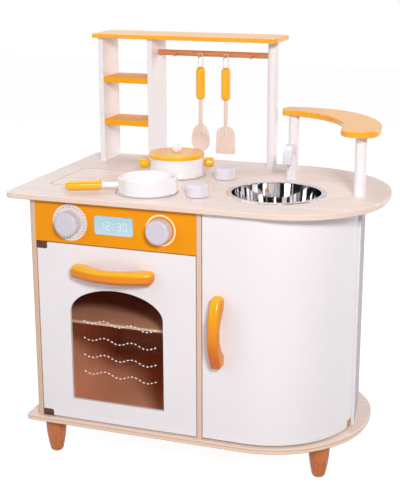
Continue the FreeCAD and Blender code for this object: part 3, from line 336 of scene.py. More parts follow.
@dataclass(frozen=True)
class Lacquer(Finish):
    """Sprayed lacquer on smooth board: even colour, soft orange peel and a trace of the grain below."""

    roughness: float = 0.3
    colour: str = "#F1EEF0"
    shade: str = "#ECE9EC"
    along: Axis = Axis.Z
    coat: float = 0.3
    specular: float = 0.5
    cloud: Figure = Figure(160.0)
    peel: Figure = Figure(1.6)
    grain: Figure = Figure(2.0, 60.0, 3.0)

    def colouring(self, tree: Tree, cloud: Node) -> Node:
        """Colour of the lacquer.

        Args:
            tree: Node tree of the material.
            cloud: Faint change over the surface.

        Returns:
            Node with the colour.
        """
        change = add(tree, "MapRange", {"Value": cloud, "From Min": 0.1, "From Max": 0.9})
        return add(tree, "Mix", {0: change, 6: self.colour, 7: self.shade}, data_type="RGBA")

    def surface(self, tree: Tree) -> Inputs:
        """Draw the lacquer's colour and sheen, its 1.6 mm peel and the 2 mm grain that it follows.

        Args:
            tree: Node tree of the material.

        Returns:
            Inputs of the shader by name.
        """
        cloud = self.cloud.drawn(tree)
        height = add(tree, "Math", {0: self.peel.drawn(tree), 1: self.grain.drawn(tree, self.along)}, operation="ADD")
        return {"Base Color": self.colouring(tree, cloud),
                "Roughness": add(tree, "MapRange", {"Value": cloud, "From Min": 0.1, "From Max": 0.9,
                                                    "To Min": self.roughness - 0.04, "To Max": self.roughness + 0.04}),
                "Normal": add(tree, "Bump", {"Height": height, "Distance": 0.02 * MM, "Strength": 0.25}),
                "IOR": 1.5, "Specular IOR Level": self.specular, "Coat Weight": self.coat, "Coat Roughness": 0.12}


@dataclass(frozen=True)
class SideShadedLacquer(Lacquer):
    """White lacquered board with painted shade: every face that does not look to the front is painted a greyer white
    than its front edge.
    """

    # Painted shade: the grey that stands for the little light reaching the faces that do not look to the front.
    side: str = "#C2BEC9"

    def colouring(self, tree: Tree, cloud: Node) -> Node:
        """Colour of the lacquer, with painted shade in grey on all that does not look to the front.

        Args:
            tree: Node tree of the material.
            cloud: Faint change over the surface.

        Returns:
            Node with the colour.
        """
        # Mask of the faces that get the painted shade.
        outside = add(tree, "MapRange", {"Value": component(tree, Reading.NORMAL, Axis.Y), "From Min": -0.75,
                                         "From Max": -0.6})
        return add(tree, "Mix", {0: outside, 6: super().colouring(tree, cloud), 7: self.side}, data_type="RGBA")


@dataclass(frozen=True)
class DownShadedLacquer(Lacquer):
    """Lacquer with painted shade: faces that look down are painted a deeper and redder colour, as shaded undersides
    look.
    """

    # Painted shade: the deeper colour of faces that look down.
    under: str = "#DC6A08"

    def colouring(self, tree: Tree, cloud: Node) -> Node:
        """Colour of the lacquer, deepened by painted shade where the surface looks down.

        Args:
            tree: Node tree of the material.
            cloud: Faint change over the surface.

        Returns:
            Node with the colour.
        """
        # Painted shade: none on faces that look well up, full on faces that look down.
        down = add(tree, "MapRange", {"Value": component(tree, Reading.NORMAL, Axis.Z), "From Min": 0.6,
                                      "From Max": -0.3})
        return add(tree, "Mix", {0: down, 6: super().colouring(tree, cloud), 7: self.under}, data_type="RGBA")


@dataclass(frozen=True)
class StainedWood(Finish):
    """Turned or planed hardwood: fine straight grain with darker pores, stained or bare."""

    roughness: float = 0.42
    pale: str = "#DA9462"
    dark: str = "#C07748"
    along: Axis = Axis.Z
    coat: float = 0.15
    grain: Figure = Figure(1.8, 45.0, 3.0)
    pore: Figure = Figure(0.6, 11.0, 3.0)

    def colouring(self, tree: Tree, grain: Node, pore: Node) -> Node:
        """Colour of the wood.

        Args:
            tree: Node tree of the material.
            grain: Spread grain.
            pore: Pores.

        Returns:
            Node with the colour.
        """
        ground = add(tree, "Mix", {0: grain, 6: self.pale, 7: self.dark}, data_type="RGBA")
        fleck = add(tree, "MapRange", {"Value": pore, "From Min": 0.58, "From Max": 0.72, "To Max": 0.4})
        return add(tree, "Mix", {0: fleck, 6: ground, 7: self.dark}, data_type="RGBA")

    def surface(self, tree: Tree) -> Inputs:
        """Draw grain, pores and a thin coat.

        Args:
            tree: Node tree of the material.

        Returns:
            Inputs of the shader by name.
        """
        grain = add(tree, "MapRange", {"Value": self.grain.drawn(tree, self.along), "From Min": 0.32,
                                       "From Max": 0.7})
        pore = self.pore.drawn(tree, self.along)
        return {"Base Color": self.colouring(tree, grain, pore),
                "Roughness": add(tree, "MapRange", {"Value": grain, "To Min": self.roughness - 0.05,
                                                    "To Max": self.roughness + 0.08}),
                "Normal": add(tree, "Bump", {"Height": pore, "Distance": 0.05 * MM, "Strength": 0.3}),
                "IOR": 1.5, "Coat Weight": self.coat, "Coat Roughness": 0.25}


@dataclass(frozen=True)
class EdgedBoard(StainedWood):
    """Brown board whose sawn front edge is left pale."""

    edge: str = "#E3C4A8"

    def colouring(self, tree: Tree, grain: Node, pore: Node) -> Node:
        """Colour of the wood, pale on the edge that looks to the front.

        Args:
            tree: Node tree of the material.
            grain: Spread grain.
            pore: Pores.

        Returns:
            Node with the colour.
        """
        front = add(tree, "MapRange", {"Value": component(tree, Reading.NORMAL, Axis.Y), "From Min": -0.75,
                                       "From Max": -0.6, "To Min": 1.0, "To Max": 0.0})
        return add(tree, "Mix", {0: front, 6: super().colouring(tree, grain, pore), 7: self.edge}, data_type="RGBA")


@dataclass(frozen=True)
class MouldedPlastic(Finish):
    """Moulded ABS with a fine spark-eroded grit."""

    roughness: float = 0.3
    colour: str = "#5A2716"
    shade: str = "#431A0E"
    grit: Figure = Figure(0.5)
    flow: Figure = Figure(12.0)

    def surface(self, tree: Tree) -> Inputs:
        """Draw 12 mm flow marks and half-millimetre grit.

        Args:
            tree: Node tree of the material.

        Returns:
            Inputs of the shader by name.
        """
        grit = self.grit.drawn(tree)
        flow = add(tree, "MapRange", {"Value": self.flow.drawn(tree), "From Min": 0.35, "From Max": 0.65})
        return {"Base Color": add(tree, "Mix", {0: flow, 6: self.colour, 7: self.shade}, data_type="RGBA"),
                "Roughness": add(tree, "MapRange", {"Value": grit, "From Min": 0.3, "From Max": 0.7,
                                                    "To Min": self.roughness - 0.06, "To Max": self.roughness + 0.08}),
                "Normal": add(tree, "Bump", {"Height": grit, "Distance": 0.03 * MM, "Strength": 0.3}),
                "IOR": 1.54}


@dataclass(frozen=True)
class Steel(Finish):
    """Stainless steel: pressed and buffed bright for the bowl, drawn and plain for the pins."""

    roughness: float = 0.035
    colour: str = "#E4E2E3"
    shade: str = "#D2CFD1"
    haze: Figure = Figure(14.0, detail=3.0)
    ripple: Figure = Figure(30.0)

    def surface(self, tree: Tree) -> Inputs:
        """Draw bright metal, faint buffing haze and the slight ripple of pressed sheet.

        Args:
            tree: Node tree of the material.

        Returns:
            Inputs of the shader by name.
        """
        haze = self.haze.drawn(tree)
        veil = add(tree, "MapRange", {"Value": haze, "From Min": 0.35, "From Max": 0.7})
        return {"Base Color": add(tree, "Mix", {0: veil, 6: self.colour, 7: self.shade}, data_type="RGBA"),
                "Roughness": add(tree, "MapRange", {"Value": haze, "From Min": 0.3, "From Max": 0.7,
                                                    "To Min": self.roughness * 0.7, "To Max": self.roughness * 1.5}),
                "Normal": add(tree, "Bump", {"Height": self.ripple.drawn(tree), "Distance": 0.02 * MM,
                                             "Strength": 0.1}),
                "Metallic": 1.0}


@dataclass(frozen=True)
class SmokedAcrylic(Finish):
    """Cast acrylic sheet with a warm smoke tint: mostly clear, with a bloomed skin that mirrors little."""

    roughness: float = 0.12
    colour: str = "#4A2012"
    shade: str = "#3C190D"
    body: float = 0.05
    specular: float = 0.1
    cloud: Figure = Figure(60.0)

    def surface(self, tree: Tree) -> Inputs:
        """Draw the tint and let most of the light through.

        Args:
            tree: Node tree of the material.

        Returns:
            Inputs of the shader by name.
        """
        cloud = self.cloud.drawn(tree)
        change = add(tree, "MapRange", {"Value": cloud, "From Min": 0.35, "From Max": 0.65})
        return {"Base Color": add(tree, "Mix", {0: change, 6: self.colour, 7: self.shade}, data_type="RGBA"),
                "Roughness": add(tree, "MapRange", {"Value": cloud, "From Min": 0.3, "From Max": 0.7,
                                                    "To Min": self.roughness - 0.02, "To Max": self.roughness + 0.03}),
                "Alpha": self.body, "IOR": 1.49, "Specular IOR Level": self.specular}


@dataclass(frozen=True)
class PrintedPlate(Finish):
    """Thin gloss plate printed in a flat tone, with painted shade that darkens it towards its upper edge and painted
    light that pales it towards its lower edge.
    """

    roughness: float = 0.2
    # Painted light and shade: the tone at the upper edge is darker and the tone at the lower edge paler.
    top: str = "#A6D0E2"
    foot: str = "#C2E0EB"
    low: float = 435.5
    high: float = 469.0
    screen: Figure = Figure(0.7)

    def surface(self, tree: Tree) -> Inputs:
        """Draw the printed tone with its painted light and shade, and a fine print screen, coarser than a real one so
        that it shows.

        Args:
            tree: Node tree of the material.

        Returns:
            Inputs of the shader by name.
        """
        # Painted light and shade by height: the foot's colour at the low edge, the top's at the high edge.
        rise = add(tree, "MapRange", {"Value": component(tree, Reading.PLACE, Axis.Z), "From Min": self.low * MM,
                                      "From Max": self.high * MM})
        screen = self.screen.drawn(tree)
        dots = add(tree, "MapRange", {"Value": screen, "From Min": 0.4, "From Max": 0.7, "To Max": 0.2})
        tone = add(tree, "Mix", {0: rise, 6: self.foot, 7: self.top}, data_type="RGBA")
        return {"Base Color": add(tree, "Mix", {0: dots, 6: tone, 7: self.top}, data_type="RGBA"),
                "Normal": add(tree, "Bump", {"Height": screen, "Distance": 0.01 * MM, "Strength": 0.15}),
                "Coat Weight": 0.5, "Coat Roughness": 0.08}


@dataclass(frozen=True)
class Ink(Finish):
    """Pad-printed ink: a thin film, a little uneven, with a satin skin."""

    roughness: float = 0.4
    colour: str = "#F4F1EE"
    shade: str = "#DDD8D4"
    fleck: Figure = Figure(2.5, detail=3.0)

    def surface(self, tree: Tree) -> Inputs:
        """Draw a slightly uneven film.

        Args:
            tree: Node tree of the material.

        Returns:
            Inputs of the shader by name.
        """
        fleck = self.fleck.drawn(tree)
        thin = add(tree, "MapRange", {"Value": fleck, "From Min": 0.45, "From Max": 0.75})
        return {"Base Color": add(tree, "Mix", {0: thin, 6: self.colour, 7: self.shade}, data_type="RGBA"),
                "Normal": add(tree, "Bump", {"Height": fleck, "Distance": 0.01 * MM, "Strength": 0.2})}


@dataclass(frozen=True)
class CottonTwist(Finish):
    """Two-ply cotton string: soft, matt and ridged by its twist."""

    roughness: float = 0.85
    colour: str = "#F6F0E8"
    shade: str = "#D9CDBE"
    ridge_pitch: float = 1.2
    ridge_slant: float = 40.0

    def surface(self, tree: Tree) -> Inputs:
        """Draw slanting ridges, wider apart than the real ones so that they show.

        Args:
            tree: Node tree of the material.

        Returns:
            Inputs of the shader by name.
        """
        where = add(tree, "TexCoord")
        turned = add(tree, "Mapping", {"Vector": where.outputs["Object"],
                                       "Rotation": (0.0, math.radians(self.ridge_slant), 0.0)})
        # At a scale of one the wave repeats every pi / 10 units, so this scale gives the pitch in millimetres.
        ridge = add(tree, "TexWave", {"Vector": turned, "Scale": math.pi / (10 * self.ridge_pitch * MM),
                                      "Distortion": 1.5, "Detail": 2.0}).outputs["Fac"]
        return {"Base Color": add(tree, "Mix", {0: ridge, 6: self.shade, 7: self.colour}, data_type="RGBA"),
                "Normal": add(tree, "Bump", {"Height": ridge, "Distance": 0.15 * MM, "Strength": 0.5}),
                "Sheen Weight": 0.3}


# Board sprayed with white lacquer has an even satin skin, with broad and soft highlights.
WHITE = Lacquer("satin white lacquer on board")
# The right end has a flatter coat than the doors, so the floor hardly shows in it, and painted shade greys all its
# faces but the front edge.
END_WHITE = SideShadedLacquer("matt white lacquer on the right end", roughness=0.5, coat=0.0, specular=0.1)
# Turned wood is dipped, so its lacquer is glossier and its highlights are small and clear.
WHITE_TURNED = Lacquer("gloss white lacquer on turned wood", roughness=0.22, colour="#F5F3F5", shade="#F0EEF1")
# The orange boards and handles shine, and the small shelves and the control panel look almost matt.
ORANGE = Lacquer("gloss orange lacquer on board", roughness=0.24, colour="#FBB000", shade="#F8A800", along=Axis.X)
GRIP_ORANGE = Lacquer("gloss amber lacquer on turned wood", roughness=0.22, colour="#FBBC00", shade="#F8B400")
SHELF_ORANGE = Lacquer("satin orange lacquer on the small shelves", roughness=0.4, colour="#F9AC00", shade="#F5A200",
                       along=Axis.X, coat=0.05, specular=0.25)
# The bow handles carry painted shade, a deeper orange on their undersides.
HANDLE_ORANGE = DownShadedLacquer("gloss orange lacquer on bow handles", roughness=0.28, colour="#FFBE10",
                              shade="#FDB808", coat=0.15, specular=0.3)
# Painted shade: the control panel is the boards' orange made deeper, since it faces the front and gets less light.
SHADED_CONTROL_ORANGE = Lacquer("satin orange lacquer on the control panel", roughness=0.34, colour="#F39D00",
                         shade="#EE9400", along=Axis.X, coat=0.05, specular=0.2)
# One grey lacquer in lit and shaded copies: the oven's knobs get the darkest copy as painted shade, and the tap the
# palest as painted light.
GREY = Lacquer("pale grey lacquer on turned wood", roughness=0.35, colour="#E2DFE7", shade="#DAD7E0")
LIT_TAP_GREY = Lacquer("grey white lacquer on turned wood", roughness=0.35, colour="#EBE8EF", shade="#E3E0E8")
SHADED_KNOB_GREY = Lacquer("mid grey lacquer on turned wood", roughness=0.35, colour="#D6D2DC", shade="#CECAD5")
# Stained hardwood takes more stain in its pores, so fine dark lines follow the grain.
CHERRY_LEVEL = StainedWood("cherry stained hardwood, level grain", along=Axis.X)
CHERRY_UPRIGHT = StainedWood("deep cherry stained hardwood, upright grain", pale="#D67E3F", dark="#B15E27")
# Planed beech with no coat is pale, dry and fine-pored.
BEECH = StainedWood("bare beech", pale="#F1E0D7", dark="#E5CBBC", roughness=0.55, coat=0.0)
# Stained board is a flat brown with a broad and weak grain.
OVEN_BOARD = StainedWood("brown stained hardboard", pale="#D2A68D", dark="#BF9079", along=Axis.X,
                         grain=Figure(3.0, 60.0, 3.0), pore=Figure(1.0, 15.0, 3.0))
OVEN_SHELF = EdgedBoard("brown stained shelf with a pale edge", pale="#F0B090", dark="#E29B78", along=Axis.X,
                        grain=Figure(3.0, 90.0, 3.0), pore=Figure(1.0, 22.0, 3.0))
# Moulded ABS has a dense, even skin with small soft highlights.
BROWN_PLASTIC = MouldedPlastic("dark brown moulded plastic")
TAN_PLASTIC = MouldedPlastic("tan moulded plastic", colour="#B98A76", shade="#A87963")
# Buffed sheet mirrors the room in bright and dark bands, and drawn rod is greyer and blurs them.
BOWL_STEEL = Steel("buffed stainless steel sheet")
PIN_STEEL = Steel("drawn steel rod", roughness=0.3, colour="#B9B9BD", shade="#A3A3A8")
# The oven shows through the cast acrylic, a little darker and warmer.
PANE = SmokedAcrylic("smoked acrylic pane")
# A printed film has a flat tone under a clear shine; painted shade darkens these plates towards the top.
DISPLAY = PrintedPlate("pale blue display plate")
DIAL = PrintedPlate("white dial plate", top="#E9E0DC", foot="#EFE8E4", low=419.0, high=485.0)
# Pad-printed inks are thin satin films that are a little broken up.
WHITE_INK = Ink("white print")
PALE_INK = Ink("pale digits", colour="#E9F8FC", shade="#D2EEF6")
CREAM_INK = Ink("cream ring print", colour="#FFF1D8", shade="#FBE3BD")
DARK_INK = Ink("dark dial print", colour="#6A6067", shade="#857A80")
# The burner rings are print darkened to double as painted shadow round the bases of the pan and the pot.
RING_INK_AND_SHADOW = Ink("grey burner print", colour="#7D757E", shade="#91888F")
BROWN_INK = Ink("brown hob print", colour="#B98A76", shade="#C79E8C")
# Cotton string is matt, with a soft bloom at its edge.
STRING = CottonTwist("white cotton string")


def dress(finish: Finish, *names: str) -> None:
    """Give CAD nodes one finish.

    Args:
        finish: Finish to assign.
        names: CAD nodes that take it.
    """
    for name in names:
        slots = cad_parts[name].data.materials
        slots.clear()
        slots.append(finish.material())
        log.info("dressed %s with %s", name, finish.name)


def deselect() -> None:
    """Leave nothing selected and no mesh in edit mode."""
    if bpy.context.object and bpy.context.object.mode != "OBJECT":
        bpy.ops.object.mode_set(mode="OBJECT")
    bpy.ops.object.select_all(action="DESELECT")


def pick(piece: bpy.types.Object) -> None:
    """Leave one object selected and active.

    Args:
        piece: Object to pick.
    """
    deselect()
    piece.select_set(True)
    bpy.context.view_layer.objects.active = piece


def open_mesh(element: Element, chosen: bool = True) -> None:
    """Put the active mesh in edit mode with all of it selected, or none.

    Args:
        element: Whether corners, edges or faces are selected.
        chosen: Whether all of them are selected.
    """
    bpy.ops.object.mode_set(mode="EDIT")
    bpy.ops.mesh.select_mode(type=element.value)
    bpy.ops.mesh.select_all(action="SELECT" if chosen else "DESELECT")


def close_mesh() -> None:
    """Put the active mesh back in object mode."""
    bpy.ops.object.mode_set(mode="OBJECT")


def settle(piece: bpy.types.Object, name: str, finish: Finish, body: Body) -> None:
    """Name a finished piece, put its place in its mesh, dress it and let it ride.

    Args:
        piece: Mesh object to settle.
        name: Name of the piece.
        finish: Finish that it gets.
        body: CAD body that carries it.
    """
    pick(piece)
    bpy.ops.object.transform_apply(location=True, rotation=True, scale=True)
    piece.name = name
    piece.data.name = name
    piece.data.materials.clear()
    piece.data.materials.append(finish.material())
    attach(piece, body.value)
    log.info("made %s, %d faces, on %s", name, len(piece.data.polygons), body.value)


@dataclass
class InkBar:
    """One printed bar, modelled once and copied along a pattern."""

    length: float
    width: float
    height: float = 0.16
    rounding: int = 4
    round_share: float = 0.49

    def model(self) -> bpy.types.Object:
        """Model the bar at the origin, its length along X and its film rising along Z.

        Returns:
            The bar's object.
        """
        deselect()
        bpy.ops.mesh.primitive_cube_add(size=1.0, location=(0.0, 0.0, self.height * MM / 2),
                                        scale=(self.length * MM, self.width * MM, self.height * MM))
        bar = bpy.context.object
        bpy.ops.object.transform_apply(location=True, rotation=True, scale=True)
        open_mesh(Element.EDGE, chosen=False)
        close_mesh()
        for edge in bar.data.edges:
            ends = [bar.data.vertices[index].co for index in edge.vertices]
            edge.select = abs(ends[0].z - ends[1].z) > self.height * MM / 2
        bpy.ops.object.mode_set(mode="EDIT")
        bpy.ops.mesh.bevel(offset=self.width * MM * self.round_share, segments=self.rounding, affect="EDGES")
        close_mesh()
        return bar

    def copied(self, places: Sequence[Matrix]) -> bpy.types.Object:
        """Copy the bar to each place and join the copies into one mesh.

        Args:
            places: Where each copy goes.

        Returns:
            The joined object.
        """
        pattern = self.model()
        copies = []
        for place in places:
            copy = pattern.copy()
            copy.data = pattern.data.copy()
            copy.data.transform(place)
            bpy.context.scene.collection.objects.link(copy)
            copies.append(copy)
        bpy.data.objects.remove(pattern)
        deselect()
        for copy in copies:
            copy.select_set(True)
        bpy.context.view_layer.objects.active = copies[0]
        if len(copies) > 1:
            bpy.ops.object.join()
        return bpy.context.object


@dataclass
class InkRing:
    """One printed ring, inset from a disc and given the thickness of its film."""

    radius: float
    width: float
    height: float = 0.16
    corners: int = 96

    def model(self, place: Matrix) -> bpy.types.Object:
        """Model the ring flat and set it in place.

        Args:
            place: Where the ring's middle goes, with its film rising along the place's own Z.

        Returns:
            The ring's object.
        """
        deselect()
        bpy.ops.mesh.primitive_circle_add(vertices=self.corners, radius=self.radius * MM, fill_type="NGON")
        ring = bpy.context.object
        open_mesh(Element.FACE)
        bpy.ops.mesh.inset(thickness=self.width * MM)
        bpy.ops.mesh.delete(type="FACE")
        close_mesh()
        thicken(ring, self.height)
        ring.data.transform(place)
        return ring


def thicken(piece: bpy.types.Object, height: float) -> None:
    """Turn a flat mesh into a film that rises along its normals.

    Args:
        piece: Flat mesh object.
        height: Thickness of the film in millimetres.
    """
    pick(piece)
    film = piece.modifiers.new("film", "SOLIDIFY")
    film.thickness = height * MM
    film.offset = 1.0
    bpy.ops.object.modifier_apply(modifier=film.name)


def facing_front(x: float, y: float, z: float, turn: float = 0.0) -> Matrix:
    """Place a flat print on an upright face that looks to the front.

    Args:
        x: Place across, in millimetres.
        y: Plane of the face, in millimetres.
        z: Height, in millimetres.
        turn: Turn in the face, anticlockwise as seen from the front, in radians.

    Returns:
        Matrix that takes the print from its own level frame to the face.
    """
    stand = Matrix.Rotation(math.radians(90), 4, "X")
    return Matrix.Translation(Vector((x, y, z)) * MM) @ stand @ Matrix.Rotation(turn, 4, "Z")


def lying(x: float, y: float, z: float, turn: float = 0.0) -> Matrix:
    """Place a flat print on a level face.

    Args:
        x: Place across, in millimetres.
        y: Place back, in millimetres.
        z: Height of the face, in millimetres.
        turn: Turn in the face, in radians.

    Returns:
        Matrix that takes the print to the face.
    """
    return Matrix.Translation(Vector((x, y, z)) * MM) @ Matrix.Rotation(turn, 4, "Z")


def box_mm(node: str) -> tuple[Vector, Vector]:
    """Lowest and highest corner of a CAD node.

    Args:
        node: Name of the node.

    Returns:
        The two corners, in millimetres.
    """
    low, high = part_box(node)
    return low / MM, high / MM


class Assembly:
    """One sub-assembly of the kitchen."""

    def dress(self) -> None:
        """Give the CAD nodes of the sub-assembly their finishes."""
        raise NotImplementedError

    def build(self) -> None:
        """Model the pieces that CAD leaves out, of which most sub-assemblies have none."""


@dataclass
class Cabinet(Assembly):
    """Boards, panels, feet and what is hidden inside them."""

    panel: float = 9.0

    def dress(self) -> None:
        """Give each board and panel its finish."""
        low, high = box_mm("worktop")
        dress(ClearPlywood("clear birch plywood, worktop", low=low.z, thickness=high.z - low.z), "worktop")
        self.dress_bottom()
        low = box_mm("left_panel")[0]
        dress(PaintedPlywood("plywood panel, white outside", along=Axis.Z, through=Axis.X, low=low.x,
                             thickness=self.panel, pale="#FFC8A4", dark="#F2AE86", edge_pale="#DCC3AC",
                             edge_dark="#BE9C80"), "left_panel")
        low = box_mm("divider_panel")[0]
        dress(ClearPlywood("clear birch plywood, divider", along=Axis.Z, through=Axis.X, low=low.x,
                           thickness=self.panel, pale="#EFAE88", dark="#DE9870", edge_pale="#E6CBB9",
                           edge_dark="#CBA68D"), "divider_panel")
        dress(END_WHITE, "right_panel", "rear_curved_panel")
        dress(OVEN_BOARD, "back_panel", "oven_ceiling")
        dress(OVEN_SHELF, "oven_shelf", "shelf_cleats")
        dress(CHERRY_UPRIGHT, "feet")
        dress(BEECH, "door_stops")
        dress(PIN_STEEL, "hinge_pins", "stop_magnets")

    def dress_bottom(self) -> None:
        """Stain the bottom board where it is the oven's floor, and leave the rest clear."""
        low, high = box_mm("bottom_board")
        left, right = box_mm("left_panel")[1].x, box_mm("divider_panel")[0].x
        front, rear = box_mm("oven_door")[1].y, box_mm("back_panel")[0].y
        dress(OvenFloorPlywood("clear birch plywood, bottom board", low=low.z, thickness=high.z - low.z,
                               plies=1.5, edge_pale="#F4D6BF", edge_dark="#C39578", glue_and_shade="#8E6046",
                               dark="#E6CFC0", pale="#EFDED3",
                               middle=((left + right) / 2, (front + rear) / 2),
                               half=((right - left) / 2, (rear - front) / 2)), "bottom_board")


@dataclass
class ControlPanel(Assembly):
    """Orange board over the oven with its dial, display and knobs."""

    dial_ticks: int = 30
    tick_radius: float = 28.2
    tick_width: float = 1.1
    long_tick: float = 4.4
    short_tick: float = 2.6
    long_every: int = 5
    ring_radius: float = 27.5
    ring_width: float = 2.8
    digit_height: float = 13.0
    digit_width: float = 6.6
    digit_pitch: float = 10.6
    stroke_width: float = 1.2
    stroke_gap: float = 0.6
    dot_length: float = 1.5
    dot_width: float = 1.4
    film: float = 0.1
    reading: str = "12:30"
    strokes: Mapping[str, str] = field(default_factory=lambda: {"0": "abcdef", "1": "bc", "2": "abged", "3": "abgcd"})

    def dress(self) -> None:
        """Give the board, plates and knobs their finishes."""
        dress(SHADED_CONTROL_ORANGE, "control_panel")
        dress(DISPLAY, "display_plate")
        dress(DIAL, "dial_plate")
        dress(SHADED_KNOB_GREY, "left_oven_knob", "right_oven_knob")
        dress(BEECH, "left_knob_spindle", "right_knob_spindle")

    def build(self) -> None:
        """Print the dial's ticks, the ring of the right knob and the display's reading."""
        self.build_ticks()
        self.build_ring()
        self.build_reading()

    def build_ticks(self) -> None:
        """Print a ring of ticks on the dial plate, every fifth one longer."""
        low, high = box_mm("dial_plate")
        middle = (low + high) / 2
        for name, length, is_long in (("dial_long_ticks", self.long_tick, True),
                                      ("dial_short_ticks", self.short_tick, False)):
            places = []
            for index in range(self.dial_ticks):
                if (index % self.long_every == 0) == is_long:
                    turn = math.tau * index / self.dial_ticks + math.pi / 2
                    x = middle.x + self.tick_radius * math.cos(turn)
                    z = middle.z + self.tick_radius * math.sin(turn)
                    places.append(facing_front(x, low.y, z, turn))
            ticks = InkBar(length, self.tick_width, self.film).copied(places)
            settle(ticks, name, DARK_INK, Body.CABINET)

    def build_ring(self) -> None:
        """Print the plain ring round the right knob."""
        low, high = box_mm("right_oven_knob")
        panel = box_mm("control_panel")[0]
        ring = InkRing(self.ring_radius, self.ring_width).model(
            facing_front((low.x + high.x) / 2, panel.y, (low.z + high.z) / 2))
        settle(ring, "right_knob_ring", CREAM_INK, Body.CABINET)

    def build_reading(self) -> None:
        """Print a clock reading in seven-stroke digits on the display."""
        low, high = box_mm("display_plate")
        middle = (low + high) / 2
        half_w, half_h = self.digit_width / 2, self.digit_height / 2
        spots = {"a": (0.0, half_h, 0), "g": (0.0, 0.0, 0), "d": (0.0, -half_h, 0),
                 "b": (half_w, half_h / 2, 1), "c": (half_w, -half_h / 2, 1),
                 "f": (-half_w, half_h / 2, 1), "e": (-half_w, -half_h / 2, 1)}
        strokes, dots = [], []
        start = middle.x - self.digit_pitch * (len(self.reading) - 1) / 2
        for index, sign in enumerate(self.reading):
            x = start + self.digit_pitch * index
            if sign == ":":
                dots += [facing_front(x, low.y, middle.z + rise) for rise in (-half_h / 2, half_h / 2)]
                continue
            for stroke in self.strokes[sign]:
                across, up, upright = spots[stroke]
                strokes.append(facing_front(x + across, low.y, middle.z + up, upright * math.pi / 2))
        reading = InkBar(half_h - self.stroke_gap, self.stroke_width, self.film, 1).copied(strokes)
        settle(reading, "display_digits", PALE_INK, Body.CABINET)
        colon = InkBar(self.dot_length, self.dot_width, self.film).copied(dots)
        settle(colon, "display_colon", PALE_INK, Body.CABINET)


@dataclass
class OvenDoor(Assembly):
    """White oven door with its smoked pane, printed heat lines and orange handle."""

    lines: int = 4
    top_line_rise: float = 155.3
    line_pitch: float = 32.1
    left_inset: float = 31.5
    right_inset: float = 23.5
    wavelength: float = 53.0
    first_dip: float = 12.3
    swing: float = 3.8
    fall: float = 0.04
    dash: InkBar = field(default_factory=lambda: InkBar(4.2, 2.1, 0.2))
    dash_pitch: float = 7.9
    step: float = 0.1

    def dress(self) -> None:
        """Give the door's nodes their finishes."""
        dress(WHITE, "oven_door")
        dress(PANE, "oven_window")
        dress(BROWN_PLASTIC, "window_clips", "oven_hinge_blocks")
        dress(HANDLE_ORANGE, "oven_handle")
        dress(PIN_STEEL, "oven_strike")

    def height(self, run: float) -> float:
        """Rise of a heat line above its own level at a run from its start."""
        return -self.swing * math.cos(math.tau * (run - self.first_dip) / self.wavelength) - self.fall * run

    def build(self) -> None:
        """Print each heat line as dashes set along a wave on the front of the pane."""
        low, high = box_mm("oven_window")
        reach = high.x - low.x - self.left_inset - self.right_inset
        for line in range(self.lines):
            level = low.z + self.top_line_rise - self.line_pitch * line + self.fall * reach / 2
            places = []
            run, since = 0.0, self.dash_pitch
            while run <= reach:
                slope = math.atan2(self.height(run + self.step) - self.height(run), self.step)
                if since >= self.dash_pitch:
                    x = low.x + self.left_inset + run
                    places.append(facing_front(x, low.y, level + self.height(run), slope))
                    since -= self.dash_pitch
                since += self.step / math.cos(slope)
                run += self.step
            dashes = self.dash.copied(places)
            settle(dashes, f"heat_line_{line + 1}", WHITE_INK, Body.OVEN_DOOR)


@dataclass
class Cupboard(Assembly):
    """Bent white door with its orange handle."""

    def dress(self) -> None:
        """Give the door's nodes their finishes."""
        dress(WHITE, "cupboard_door")
        dress(HANDLE_ORANGE, "cupboard_handle")
        dress(TAN_PLASTIC, "cupboard_hinge_blocks")
        dress(PIN_STEEL, "cupboard_strike")


